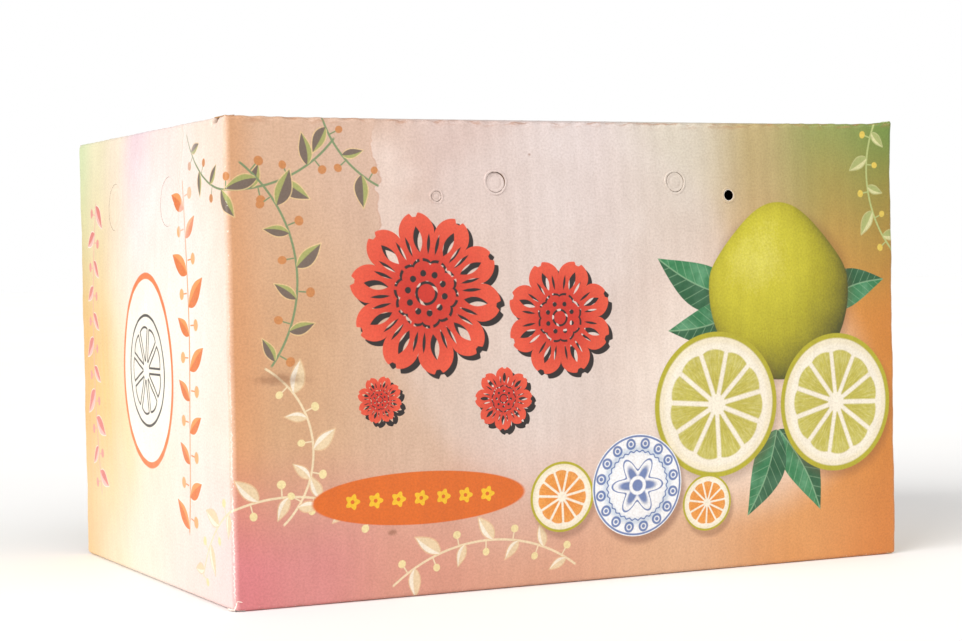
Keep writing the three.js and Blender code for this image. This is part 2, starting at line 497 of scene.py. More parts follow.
@dataclass
class Sheet:
    """A sheet of paper or board, modelled as a grid that is given a thickness."""

    name: str
    across: Array
    along: Array

    def build(self, surface: Surface, depths: Pair, layout: Layout, rim: int = 1) -> Piece:
        """Models the sheet as a closed mesh.

        Args:
            surface: Gives the sheet's points at a depth.
            depths: The depths of its outer and inner surfaces.
            layout: Gives the places on the flat blank.
            rim: The material slot of its cut edges.
        Returns:
            The sheet, with slot 0 on its face and slot 1 on its back.
        """
        columns, rows = len(self.across) - 1, len(self.along) - 1
        sheet = add(bpy.ops.mesh.primitive_grid_add, self.name, x_subdivisions=columns,
                    y_subdivisions=rows, size=1)
        apply_modifier(sheet, "SOLIDIFY", thickness=0.1, offset=-1.0)
        a, b = (part.ravel() for part in np.meshgrid(self.across, self.along))
        write_points(sheet, np.concatenate([surface(a, b, depth) for depth in depths]))
        write_print_map(sheet, np.tile(layout(a, b), (2, 1)))
        count = columns * rows
        index = np.full(len(sheet.data.polygons), rim, np.int32)
        index[:count] = 0
        index[count:2 * count] = 1
        for _ in range(3):
            sheet.data.materials.append(None)
        sheet.data.polygons.foreach_set("material_index", index)
        smooth_faces(sheet)
        return sheet


def join(pieces: Sequence[Piece], name: str) -> Piece:
    """Joins pieces into one mesh.

    Args:
        pieces: The pieces.
        name: The name of what they become.
    Returns:
        The joined piece.
    """
    solo(pieces[0])
    for piece in pieces[1:]:
        piece.select_set(True)
    bpy.ops.object.join()
    joined = bpy.context.object
    joined.name = name
    joined.data.name = name
    return joined


def cut_away(piece: Piece, cutter: Piece) -> None:
    """Cuts one piece with another and removes the cutter."""
    apply_modifier(piece, "BOOLEAN", object=cutter, operation="DIFFERENCE", solver="EXACT",
                   material_mode="TRANSFER")
    bpy.data.objects.remove(cutter)


# Node work


@dataclass(frozen=True, eq=False)
class Wire:
    """An output socket that takes part in arithmetic, each step adding a node."""

    canvas: Canvas
    socket: bpy.types.NodeSocket

    def work(self, operation: str, *others: Feed) -> Wire:
        """Puts the wire through an operation, with any other terms after it."""
        return self.canvas.math(operation, self, *others)

    def __rsub__(self, other: Feed) -> Wire:
        """The difference from a number before it."""
        return self.canvas.math("SUBTRACT", other, self)

    __add__ = __radd__ = partialmethod(work, "ADD")
    __sub__ = partialmethod(work, "SUBTRACT")
    __mul__ = __rmul__ = partialmethod(work, "MULTIPLY")
    __truediv__ = partialmethod(work, "DIVIDE")
    __pow__ = partialmethod(work, "POWER")
    __abs__ = partialmethod(work, "ABSOLUTE")

    def rise(self, low: Feed, high: Feed) -> Wire:
        """A soft step from 0 at low to 1 at high."""
        return self.canvas.step(self, low, high, 0.0, 1.0)

    def fall(self, low: Feed, high: Feed) -> Wire:
        """A soft step from 1 at low to 0 at high."""
        return self.canvas.step(self, low, high, 1.0, 0.0)


Feed = Union[Wire, float, Sequence[float]]
Feeds = dict[Union[int, str], Feed]
Wires = dict[str, Wire]


@dataclass(eq=False)
class Canvas:
    """Adds nodes to one tree, in the order in which they are worked out."""

    tree: bpy.types.NodeTree

    @classmethod
    def of(cls, owner: Union[Material, bpy.types.World]) -> Canvas:
        """Clears the nodes of a material or world.

        Args:
            owner: The material or world.
        Returns:
            Its canvas.
        """
        owner.use_nodes = True
        owner.node_tree.nodes.clear()
        return cls(owner.node_tree)

    def node(self, kind: str, feeds: Feeds, **settings: object) -> bpy.types.Node:
        """Adds a node.

        Args:
            kind: The node's type.
            feeds: What goes into its inputs, by name or number.
            **settings: Its own settings.
        Returns:
            The node.
        """
        node = self.tree.nodes.new(kind)
        for name, value in settings.items():
            setattr(node, name, value)
        for key, value in feeds.items():
            if isinstance(value, Wire):
                self.tree.links.new(value.socket, node.inputs[key])
            else:
                node.inputs[key].default_value = value
        return node

    def wire(self, kind: str, feeds: Feeds, output: Union[int, str] = 0, **settings: object) -> Wire:
        """Adds a node and gives one of its outputs."""
        return Wire(self, self.node(kind, feeds, **settings).outputs[output])

    def math(self, operation: str, *terms: Feed) -> Wire:
        """Works out a sum, product or other operation on numbers."""
        return self.wire("ShaderNodeMath", dict(enumerate(terms)), operation=operation)

    def most(self, *terms: Feed) -> Wire:
        """The largest of some numbers."""
        return reduce(partial(self.math, "MAXIMUM"), terms)

    def least(self, *terms: Feed) -> Wire:
        """The smallest of some numbers."""
        return reduce(partial(self.math, "MINIMUM"), terms)

    def share(self, value: Wire) -> Wire:
        """A number kept between 0 and 1."""
        return self.least(self.most(value, 0.0), 1.0)

    def hypot(self, a: Wire, b: Wire) -> Wire:
        """The length of a diagonal from its two sides."""
        return self.math("SQRT", a * a + b * b)

    def turns(self, x: Wire, y: Wire, count: Feed) -> Wire:
        """The angle of a place, counted in equal parts of a full turn."""
        return self.math("ARCTAN2", y, x) * count / FULL_TURN

    def cell(self, turns: Wire) -> Wire:
        """The place within one of those parts, from -0.5 to 0.5."""
        return self.math("FRACT", turns) - 0.5

    def step(self, value: Wire, low: Feed, high: Feed, start: float, end: float) -> Wire:
        """A soft step between two values."""
        feeds = {"Value": value, "From Min": low, "From Max": high, "To Min": start, "To Max": end}
        return self.wire("ShaderNodeMapRange", feeds, interpolation_type="SMOOTHSTEP")

    def solid(self) -> Wire:
        """The place in the piece's own frame, in metres."""
        return self.wire("ShaderNodeTexCoord", {}, "Object")

    def parts(self, vector: Wire) -> tuple[Wire, Wire]:
        """The x and y of a vector."""
        node = self.node("ShaderNodeSeparateXYZ", {0: vector})
        return Wire(self, node.outputs[0]), Wire(self, node.outputs[1])

    def local(self, position: Wire, origin: Feed, angle: Feed) -> Wire:
        """Sees a position from a place where the x axis is turned by an angle."""
        moved = self.wire("ShaderNodeVectorMath", {0: position, 1: origin}, operation="SUBTRACT")
        return self.wire("ShaderNodeVectorRotate", {"Vector": moved, "Angle": angle},
                         rotation_type="Z_AXIS", invert=True)

    def length(self, vector: Wire) -> Wire:
        """A vector's length."""
        return self.wire("ShaderNodeVectorMath", {0: vector}, "Value", operation="LENGTH")

    def scaled(self, vector: Wire, factors: Sequence[float]) -> Wire:
        """A vector with each part multiplied."""
        return self.wire("ShaderNodeVectorMath", {0: vector, 1: factors}, operation="MULTIPLY")

    def mix(self, under: Feed, over: Feed, mask: Feed, blend: str = "MIX") -> Wire:
        """Lays one colour over another through a mask."""
        feeds = {0: mask, 6: under, 7: over}
        return self.wire("ShaderNodeMix", feeds, 2, data_type="RGBA", blend_type=blend)

    def ramp(self, value: Wire, stops: Stops, interpolation: str = "EASE") -> Wire:
        """Picks a colour by a value.

        Args:
            value: The value, from 0 to 1.
            stops: Places and the codes of their colours.
            interpolation: How the colours go over into each other.
        Returns:
            The colour.
        """
        node = self.node("ShaderNodeValToRGB", {0: value})
        elements = node.color_ramp.elements
        node.color_ramp.interpolation = interpolation
        for _ in stops[2:]:
            elements.new(0.5)
        for element, (place, code) in zip(elements, stops):
            element.position = place
            element.color = ink(code)
        return Wire(self, node.outputs[0])

    def noise(self, vector: Wire, scale: float, detail: float = 2.0, rough: float = 0.5) -> Wire:
        """A cloudy value from 0 to 1."""
        feeds = {"Vector": vector, "Scale": scale, "Detail": detail, "Roughness": rough}
        return self.wire("ShaderNodeTexNoise", feeds, 0)

    def finish(self, colour: Wire, rough: Wire, relief: Wire, strength: float, depth: float,
               metal: float = 0.0) -> None:
        """Ends the nodes of a material with its shader.

        Args:
            colour: The colour.
            rough: The roughness.
            relief: The height of the grain.
            strength: How strongly the grain shows.
            depth: The depth of the grain.
            metal: 1 for bare metal.
        """
        normal = self.wire("ShaderNodeBump", {"Height": relief, "Strength": strength, "Distance": depth})
        feeds = {"Base Color": colour, "Roughness": rough, "Normal": normal, "Metallic": metal}
        shader = self.wire("ShaderNodeBsdfPrincipled", feeds)
        self.node("ShaderNodeOutputMaterial", {"Surface": shader})


class Effect(Canvas):
    """A shader node group that is made once and placed wherever it is needed."""

    title: ClassVar[str]
    takes: ClassVar[dict[str, Union[float, Triple]]]
    gives: ClassVar[dict[str, str]]

    def __init__(self, tree: bpy.types.NodeTree) -> None:
        """Starts the group's nodes with its inputs."""
        super().__init__(tree)
        self.entry = tree.nodes.new("NodeGroupInput")

    def __getitem__(self, label: str) -> Wire:
        """One of the group's inputs."""
        return Wire(self, self.entry.outputs[label])

    def give(self, **outputs: Wire) -> None:
        """Ends the group's nodes with its outputs."""
        self.node("NodeGroupOutput", outputs)

    def draw(self) -> None:
        """Adds the group's nodes."""
        raise NotImplementedError

    @classmethod
    def group(cls) -> bpy.types.NodeTree:
        """Finds the node group, or makes it at its first use.

        Returns:
            The group.
        """
        found = bpy.data.node_groups.get(cls.title)
        if found:
            return found
        tree = bpy.data.node_groups.new(cls.title, "ShaderNodeTree")
        for label, value in cls.takes.items():
            kind = "NodeSocketVector" if isinstance(value, tuple) else FLOAT
            tree.interface.new_socket(name=label, in_out="INPUT", socket_type=kind).default_value = value
        for label, kind in cls.gives.items():
            tree.interface.new_socket(name=label, in_out="OUTPUT", socket_type=kind)
        cls(tree).draw()
        return tree

    @classmethod
    def stamp(cls, canvas: Canvas, **values: Feed) -> Wires:
        """Places the group on a canvas."""
        node = canvas.node("ShaderNodeGroup", values, node_tree=cls.group())
        return {label: Wire(canvas, node.outputs[label]) for label in cls.gives}


class GroundTint(Effect):
    """The blended colours behind the print, over one end wall and one long wall, with the end wall's colours
    painted paler as painted light.
    """

    title = "ground_tint"
    takes = {"Position": ORIGIN, "Left": -238.0, "Right": 360.0, "Height": 221.0}
    gives = {"Colour": COLOUR}
    # Below 0.3995, at the corner fold, each row's stops lie on the end wall and are painted paler than the
    # long wall's: painted light from the strong light on the left.
    top_stops = (
        (0.0, "D2DFAE"), (0.06, "ECE5BE"), (0.12, "F2E3CC"), (0.18, "EFD4DD"), (0.25, "F7E0DA"),
        (0.33, "F9E4D6"), (0.397, "F8E0D0"), (0.3995, "DCA77C"), (0.43, "DCB598"), (0.50, "D9B7A2"),
        (0.58, "DAC2BA"), (0.70, "DFD0CD"), (0.79, "DAD0BF"), (0.86, "BEA974"), (0.93, "959E54"),
        (1.0, "748F3E"),
    )
    middle_stops = (
        (0.0, "EBB75E"), (0.08, "EFC77A"), (0.15, "F4DAA4"), (0.21, "F9E8D0"), (0.33, "FAE8DC"),
        (0.397, "F9E2D4"), (0.3995, "D99C6C"), (0.44, "D3A67E"), (0.55, "D6B59D"), (0.66, "DECBC1"),
        (0.78, "DEC4B4"), (0.86, "E0AE80"), (0.94, "DE9440"), (1.0, "D68832"),
    )
    bottom_stops = (
        (0.0, "F1C88A"), (0.09, "F8E0BE"), (0.18, "FAEAD9"), (0.29, "F9E0D8"), (0.397, "F8D8D6"),
        (0.3995, "DB8085"), (0.46, "D88C88"), (0.54, "DA9A86"), (0.66, "DCA488"), (0.78, "E2B28C"),
        (0.90, "E09C5C"), (1.0, "D8843A"),
    )

    def draw(self) -> None:
        """Blends three rows of colours up the wall."""
        drift = self.noise(self["Position"], 0.012, 1.0) - 0.5
        u, v = self.parts(self["Position"])
        along = (u - self["Left"]) / (self["Right"] - self["Left"])
        up = v / self["Height"] + drift * 0.25
        lower = self.ramp(along, self.bottom_stops)
        middle = self.ramp(along, self.middle_stops)
        colour = self.mix(lower, middle, up.rise(0.03, 0.38))
        upper = self.ramp(along, self.top_stops)
        self.give(Colour=self.mix(colour, upper, up.rise(0.52, 0.98)))


class LeafShape(Effect):
    """A pointed leaf with a midrib and side veins."""

    title = "leaf_shape"
    takes = {"Position": ORIGIN, "Base": ORIGIN, "Angle": 0.0, "Length": 40.0, "Width": 16.0, "Veins": 5.0}
    gives = {"Mask": FLOAT, "Half": FLOAT, "Vein": FLOAT}

    def draw(self) -> None:
        """Draws the outline along a slightly bowed midrib."""
        x, y = self.parts(self.local(self["Position"], self["Base"], self["Angle"]))
        along = self.share(x / self["Length"])
        bow = self.math("SINE", along * math.pi) * self["Width"] * 0.14
        side = y - bow
        half = self.math("SINE", (along ** 0.72) * math.pi) * self["Width"] * 0.5
        across = abs(side)
        mask = (half - across).rise(0.04, 0.45)
        ribs = self.math("FRACT", (x - across * 0.9) / self["Veins"])
        vein = self.most(abs(ribs - 0.5).fall(0.03, 0.09) * 0.55, across.fall(0.15, 0.55))
        self.give(Mask=mask, Half=side.rise(-0.3, 0.3), Vein=vein)


class SprigShape(Effect):
    """A stem along an arc with leaves on alternate sides and a berry across from each leaf."""

    title = "sprig_shape"
    takes = {"Position": ORIGIN, "Centre": ORIGIN, "Radius": 60.0, "Middle": 0.0, "Reach": 40.0,
             "Spacing": 15.0, "Leaf": 13.0, "Berry": 1.6}
    gives = {"Stem": FLOAT, "Edge": FLOAT, "Leaf": FLOAT, "Shade": FLOAT, "Berry": FLOAT}
    leaf_angle = math.radians(58)

    def draw(self) -> None:
        """Repeats one leaf and one berry along the arc."""
        turned = self.local(self["Position"], self["Centre"], self["Middle"])
        x, y = self.parts(turned)
        along = self.math("ARCTAN2", y, x) * self["Radius"]
        off = self.length(turned) - self["Radius"]
        stem = abs(off).fall(0.30, 0.75) * (abs(along) / self["Reach"]).fall(0.97, 1.0)
        cell = self.math("ROUND", along / self["Spacing"])
        step = along - cell * self["Spacing"]
        odd = self.math("FLOORED_MODULO", cell, 2.0)
        outward = off * (1.0 - odd * 2.0)
        shown = (abs(cell) * self["Spacing"] / self["Reach"]).fall(0.98, 1.0)
        grown = self.wire("ShaderNodeTexWhiteNoise", {"W": cell}, 0, noise_dimensions="1D") * 0.4 + 0.8
        size = self["Leaf"] * grown
        start = step + size * 0.28
        ahead = start * math.cos(self.leaf_angle) + outward * math.sin(self.leaf_angle)
        side = outward * math.cos(self.leaf_angle) - start * math.sin(self.leaf_angle)
        part = ahead / size
        half = self.math("SINE", (self.share(part) ** 0.8) * math.pi) * size * 0.21
        inside = half - abs(side)
        edge = inside.rise(-0.55, -0.2) * part.rise(0.0, 0.08) * part.fall(1.0, 1.04) * shown
        leaf = inside.rise(0.03, 0.35) * shown
        shade = (side + half * 0.25).rise(-0.25, 0.25)
        below = outward + self["Leaf"] * 0.42
        berry = self.hypot(step, below).fall(self["Berry"], self["Berry"] + 0.4) * shown
        stalk = abs(step).fall(0.15, 0.5) * abs(outward + self["Leaf"] * 0.2).fall(2.2, 2.6) * shown
        self.give(Stem=self.most(stem, stalk), Edge=edge, Leaf=leaf, Shade=shade, Berry=berry)


class RosetteShape(Effect):
    """A folk paper-cut flower: petals round a hub, with slits and eyes cut out of them."""

    title = "rosette_shape"
    takes = {"Position": ORIGIN, "Centre": ORIGIN, "Radius": 40.0, "Petals": 8.0, "Turn": 0.0}
    gives = {"Mask": FLOAT, "Tone": FLOAT}

    def draw(self) -> None:
        """Repeats one petal round the hub and takes the cuts out of it."""
        turned = self.local(self["Position"], self["Centre"], self["Turn"])
        x, y = self.parts(turned)
        r = self.length(turned) / self["Radius"]
        cell = self.cell(self.turns(x, y, self["Petals"]))
        across = abs(cell) * r * FULL_TURN / self["Petals"]
        lobe = self.math("COSINE", cell * math.pi) ** 0.55
        notch = abs(cell).fall(0.03, 0.10) * 0.055
        mask = (lobe * 0.27 + 0.73 - notch - r).rise(0.0, 0.015)
        slit = (0.062 - (r - 0.66) * (r - 0.66) * 2.2 - across).rise(0.0, 0.012)
        mask = mask * (1.0 - slit)
        wings = abs(across - r * 0.22)
        crescent = (0.026 - (r - 0.60) * (r - 0.60) * 1.3 - wings).rise(0.0, 0.01)
        mask = mask * (1.0 - crescent)
        ring = abs(r - 0.36 - lobe * 0.05).fall(0.012, 0.026) * abs(cell).rise(0.05, 0.11)
        mask = mask * (1.0 - ring)
        eye = self.hypot(across, r - 0.245).fall(0.034, 0.046)
        mask = mask * (1.0 - eye)
        hub = abs(r - 0.13).fall(0.012, 0.024)
        self.give(Mask=mask * (1.0 - hub), Tone=r)


class RoundFruit(Effect):
    """A whole round citrus fruit in soft light, with pores."""

    title = "round_fruit"
    takes = {"Position": ORIGIN, "Centre": ORIGIN, "Radius": 45.0}
    gives = {"Mask": FLOAT, "Colour": COLOUR}
    skin_stops = ((0.0, "4A4A08"), (0.28, "87800F"), (0.55, "B5AC1A"), (0.8, "CFC62E"), (1.0, "E7DF6A"))

    def draw(self) -> None:
        """Shades the fruit as a ball that narrows towards its stalk."""
        x, y = self.parts(self.local(self["Position"], self["Centre"], 0.0))
        x = x / self["Radius"]
        y = y / self["Radius"]
        neck = y.rise(0.15, 1.05) * 0.36 + 1.0
        x = x * neck
        r = self.math("SQRT", x * x + y * y * 0.93)
        bulge = self.math("SQRT", self.most(1.0 - r * r, 0.0))
        light = bulge * 0.62 + y * 0.30 - x * 0.26 + 0.14
        pores = self.wire("ShaderNodeTexVoronoi", {"Vector": self["Position"], "Scale": 0.9}, "Distance")
        blush = self.noise(self["Position"], 0.05, 3.0) - 0.5
        light = light + (pores - 0.45) * 0.10 + blush * 0.22
        colour = self.ramp(light, self.skin_stops, "LINEAR")
        self.give(Mask=r.fall(0.985, 1.0), Colour=colour)


class CutFruit(Effect):
    """A citrus fruit cut across: rind, pith and a wheel of juicy segments."""

    title = "cut_fruit"
    takes = {"Position": ORIGIN, "Centre": ORIGIN, "Radius": 36.0, "Turn": 0.0, "Segments": 11.0,
             "Pale": 0.0}
    gives = {"Mask": FLOAT, "Colour": COLOUR}
    flesh_stops = ((0.0, "D8731C"), (0.4, "EB9334"), (0.75, "F4B465"), (1.0, "FAD7A4"))
    pale_stops = ((0.0, "A89B2C"), (0.4, "C6BC4E"), (0.75, "DCD584"), (1.0, "F1EDC4"))

    def draw(self) -> None:
        """Repeats one segment round the core inside a ring of pith."""
        turned = self.local(self["Position"], self["Centre"], self["Turn"])
        x, y = self.parts(turned)
        r = self.length(turned) / self["Radius"]
        turns = self.turns(x, y, self["Segments"])
        cell = self.cell(turns)
        wall = (0.5 - abs(cell)) * r * FULL_TURN / self["Segments"]
        outer = self.math("COSINE", cell * math.pi) ** 0.4 * 0.07 + 0.70
        flesh = self.least(wall - 0.018, outer - r, r - 0.13).rise(0.0, 0.03)
        streaks = self.wire("ShaderNodeCombineXYZ", {0: turns * 7.0, 1: r * 4.5})
        juice = self.noise(streaks, 1.6, 2.0) * 0.85 + r * 0.35 - 0.15
        inside = self.mix(self.ramp(juice, self.flesh_stops, "LINEAR"),
                            self.ramp(juice, self.pale_stops, "LINEAR"), self["Pale"])
        rind = self.mix(ink("F6EBCF"), ink("B9B024"), r.rise(0.905, 0.935))
        pith = self.mix(rind, ink("FBF3E0"), r.fall(0.80, 0.88))
        self.give(Mask=r.fall(0.985, 1.0), Colour=self.mix(pith, inside, flesh))


class FoldWear(Effect):
    """Cracked and rubbed ink along the folds, and pale rub marks over the walls."""

    title = "fold_wear"
    takes = {"Position": ORIGIN, "Corner": 0.0, "Left": -238.0, "Right": 360.0, "Height": 221.0}
    gives = {"Crack": FLOAT, "Rub": FLOAT, "Stain": FLOAT}

    def draw(self) -> None:
        """Wears the print by its distance from the nearest fold."""
        def cloud(stretch: Sequence[float], scale: float, detail: float, rough: float = 0.5) -> Wire:
            """A cloudy value, stretched along the wall or up it."""
            return self.noise(self.scaled(self["Position"], stretch), scale, detail, rough)

        u, v = self.parts(self["Position"])
        from_corner = u - self["Corner"]
        upright = self.least(abs(from_corner), abs(u - self["Right"]), abs(u - self["Left"]))
        level = self.least(abs(v), abs(v - self["Height"]))
        fold = self.least(upright, level + 0.4)
        flecks = cloud((1.0, 0.7, 1.0), 1.1, 4.0, 0.65)
        low = v.fall(0.0, self["Height"]) * 0.05
        crack = (flecks - fold * 0.055 + low).rise(0.60, 0.67)
        sway = cloud((0.2, 0.55, 1.0), 1.0, 3.0, 0.6) - 0.5
        split = abs(from_corner + sway * 2.6).fall(0.1, 0.5) * v.fall(30.0, 170.0) * 0.75
        split = split * cloud((0.4, 0.1, 1.0), 1.0, 2.0).rise(0.38, 0.5)
        scuffs = cloud((0.5, 1.6, 1.0), 0.9, 5.0, 0.7)
        rub = (scuffs - fold * 0.006).rise(0.60, 0.78) * fold.fall(2.0, 26.0)
        patches = cloud((0.10, 0.35, 1.0), 1.0, 4.0, 0.65)
        stain = patches.rise(0.48, 0.64) * abs(self["Height"] - v).fall(0.4, 4.0) * u.rise(-1.0, 1.0)
        self.give(Crack=self.most(crack, split), Rub=rub, Stain=stain)


class PaperGrain(Effect):
    """The tooth of varnished or bare paper, as a height and a value that varies slowly."""

    title = "paper_grain"
    takes = {"Position": ORIGIN, "Fibre": 1.0}
    gives = {"Height": FLOAT, "Mottle": FLOAT}

    def draw(self) -> None:
        """Adds fine peel, and fibres that lie two ways."""
        peel = self.noise(self["Position"], 900.0, 3.0, 0.55)
        first = self.noise(self.scaled(self["Position"], (1.0, 1.0, 0.16)), 1500.0, 2.0, 0.6)
        second = self.noise(self.scaled(self["Position"], (0.2, 0.2, 1.0)), 1300.0, 2.0, 0.6)
        fibres = self.most(first, second) * self["Fibre"]
        mottle = self.noise(self["Position"], 38.0, 4.0, 0.6)
        self.give(Height=peel + fibres, Mottle=mottle)


# What the print holds


@dataclass(eq=False)
class PrintSheet(Canvas):
    """The canvas of a print, with the place on the blank in millimetres and the colours so far."""

    position: Wire
    colour: Wire

    def about(self, centre: Pair) -> Wire:
        """The place as seen from a centre."""
        return self.local(self.position, (*centre, 0.0), 0.0)

    def ellipse(self, centre: Pair, radii: Pair) -> Wire:
        """The distance from a centre, which is 1 on an ellipse."""
        return self.length(self.scaled(self.about(centre), (1 / radii[0], 1 / radii[1], 0.0)))

    def lay(self, over: Union[str, Wire], mask: Wire) -> None:
        """Prints a colour, or a colour code, over the colours so far through a mask."""
        self.colour = self.mix(self.colour, ink(over) if isinstance(over, str) else over, mask)

    def tint(self, code: str, clear: Wire, share: float) -> None:
        """Tints the colours so far, less where the mask is clear."""
        shade = self.mix(ink(code), ink("FFFFFF"), clear)
        self.colour = self.mix(self.colour, shade, share, "MULTIPLY")

    def tie(self) -> None:
        """Ties the place to the colours so far."""
        feeds = {0: self.colour, 1: (LAYER_TIE, LAYER_TIE, LAYER_TIE), 2: self.position}
        self.position = self.wire("ShaderNodeVectorMath", feeds, operation="MULTIPLY_ADD")


class Layer:
    """Something printed over the colours so far, with its sizes in millimetres."""

    def paint(self, sheet: PrintSheet) -> None:
        """Prints it."""
        raise NotImplementedError


@dataclass(frozen=True)
class SprigInk:
    """The inks of a sprig."""

    stem: str
    leaf: str
    shade: str
    berry: str
    edge: str


class SprigTone(Enum):
    """The colourings in which sprigs are printed."""

    OLIVE = SprigInk("7E9468", "A9AC66", "77665A", "CF8A50", "EACB94")
    CREAM = SprigInk("F0DCB6", "F6ECD8", "EBD3AC", "F1DFA6", "E9C79A")
    ORANGE = SprigInk("EE8A3A", "F09A4C", "E2762A", "F3B070", "FFF6EC")
    BLUSH = SprigInk("F0A8A0", "F4BDB4", "E27A70", "EE968C", "FFF4F0")
    LIME = SprigInk("B9C47C", "DDDAA0", "AEB670", "E4C856", "CFCF92")


@dataclass(frozen=True)
class Glow(Layer):
    """A soft ellipse of one colour: a glow behind the motifs, or a shadow under one."""

    centre: Pair
    radii: Pair
    soft: float
    code: str
    strength: float

    def paint(self, sheet: PrintSheet) -> None:
        """Prints the ellipse."""
        r = sheet.ellipse(self.centre, self.radii)
        sheet.lay(self.code, r.fall(1 - self.soft, 1 + self.soft) * self.strength)


@dataclass(frozen=True)
class Sprig(Layer):
    """A leafy sprig along an arc; angles are in degrees."""

    centre: Pair
    radius: float
    middle: float
    reach: float
    tone: SprigTone
    leaf: float = 13.0
    spacing: float = 14.0

    def paint(self, sheet: PrintSheet) -> None:
        """Prints the stem, the leaves and the berries.

        Args:
            sheet: The print so far.
        """
        inks = self.tone.value
        shape = SprigShape.stamp(sheet, Position=sheet.position, Centre=(*self.centre, 0.0),
                                 Radius=self.radius, Middle=math.radians(self.middle), Reach=self.reach,
                                 Spacing=self.spacing, Leaf=self.leaf, Berry=self.leaf * 0.125)
        sheet.lay(inks.stem, shape["Stem"])
        sheet.lay(inks.edge, shape["Edge"] * 0.7)
        sheet.lay(sheet.mix(ink(inks.leaf), ink(inks.shade), shape["Shade"]), shape["Leaf"])
        sheet.lay(inks.berry, shape["Berry"])


@dataclass(frozen=True)
class Leaf(Layer):
    """A large glossy leaf; the angle is in degrees."""

    base: Pair
    angle: float
    length: float
    width: float
    dark: str = "0D3B1E"
    light: str = "2F7F4C"

    def paint(self, sheet: PrintSheet) -> None:
        """Prints the two halves of the leaf and its veins.

        Args:
            sheet: The print so far.
        """
        shape = LeafShape.stamp(sheet, Position=sheet.position, Base=(*self.base, 0.0),
                                Angle=math.radians(self.angle), Length=self.length, Width=self.width,
                                Veins=self.length / 9)
        sheen = sheet.noise(sheet.position, 0.11, 2.0).rise(0.35, 0.75)
        light = sheet.mix(ink(self.light), ink("79B58C"), sheen * 0.55)
        blade = sheet.mix(light, ink(self.dark), shape["Half"] * 0.62)
        blade = sheet.mix(blade, ink("A8CFA4"), shape["Vein"] * 0.5)
        sheet.lay(blade, shape["Mask"])


@dataclass(frozen=True)
class Rosette(Layer):
    """A red paper-cut flower with a dark shadow; the turn is in degrees."""

    centre: Pair
    radius: float
    petals: float
    turn: float
    shadow: Pair = (2.1, -2.3)

    def paint(self, sheet: PrintSheet) -> None:
        """Prints the shadow, then the flower.

        Args:
            sheet: The print so far.
        """
        x, y = self.centre
        values = {"Position": sheet.position, "Radius": self.radius, "Petals": self.petals,
                  "Turn": math.radians(self.turn)}
        under = (x + self.shadow[0], y + self.shadow[1], 0.0)
        sheet.lay("241A18", RosetteShape.stamp(sheet, Centre=under, **values)["Mask"])
        shape = RosetteShape.stamp(sheet, Centre=(x, y, 0.0), **values)
        red = sheet.mix(ink("CF2F1C"), ink("E9573A"), shape["Tone"].rise(0.2, 1.0))
        sheet.lay(red, shape["Mask"])


@dataclass(frozen=True)
class Fruit(Layer):
    """A whole fruit, or a cut one with its turn in degrees and its flesh from orange, 0, to pale, 1."""

    centre: Pair
    radius: float
    cut_turn: Union[float, None] = None
    pale: float = 0.0

    def paint(self, sheet: PrintSheet) -> None:
        """Prints a soft shadow, then the fruit.

        Args:
            sheet: The print so far.
        """
        x, y = self.centre
        Glow((x + 1.5, y - 3.0), (self.radius, self.radius), 0.10, "6A3A20", 0.40).paint(sheet)
        values = {"Position": sheet.position, "Centre": (x, y, 0.0), "Radius": self.radius}
        if self.cut_turn is None:
            shape = RoundFruit.stamp(sheet, **values)
        else:
            shape = CutFruit.stamp(sheet, Turn=math.radians(self.cut_turn), Pale=self.pale, **values)
        sheet.lay(shape["Colour"], shape["Mask"])


@dataclass(frozen=True)
class Badge(Layer):
    """An ellipse with a rim, holding a row of small blossoms."""

    centre: Pair
    radii: Pair
    fill: str
    rim: str
    rim_width: float
    blossoms: int = 0

    def paint(self, sheet: PrintSheet) -> None:
        """Prints the rim and the fill, then the blossoms.

        Args:
            sheet: The print so far.
        """
        r = sheet.ellipse(self.centre, self.radii)
        inner = 1 - self.rim_width / min(self.radii)
        edge = 0.5 / min(self.radii)
        sheet.lay(self.rim, r.fall(1 - edge, 1.0))
        sheet.lay(self.fill, r.fall(inner - edge, inner))
        if not self.blossoms:
            return
        pitch = 1.45 * self.radii[0] / self.blossoms
        x, y = sheet.parts(sheet.about(self.centre))
        shift = (self.blossoms + 1) % 2 / 2
        cell = sheet.math("ROUND", x / pitch - shift) + shift
        step = x - cell * pitch
        spread = sheet.hypot(step, y) / (pitch * 0.36)
        lobes = sheet.math("COSINE", sheet.math("ARCTAN2", y, step) * 5.0) * 0.16 + 0.80
        shown = abs(cell).fall(self.blossoms / 2 - 0.3, self.blossoms / 2 - 0.2)
        sheet.lay("F4C21E", (lobes - spread).rise(0.0, 0.08) * spread.rise(0.2, 0.27) * shown)


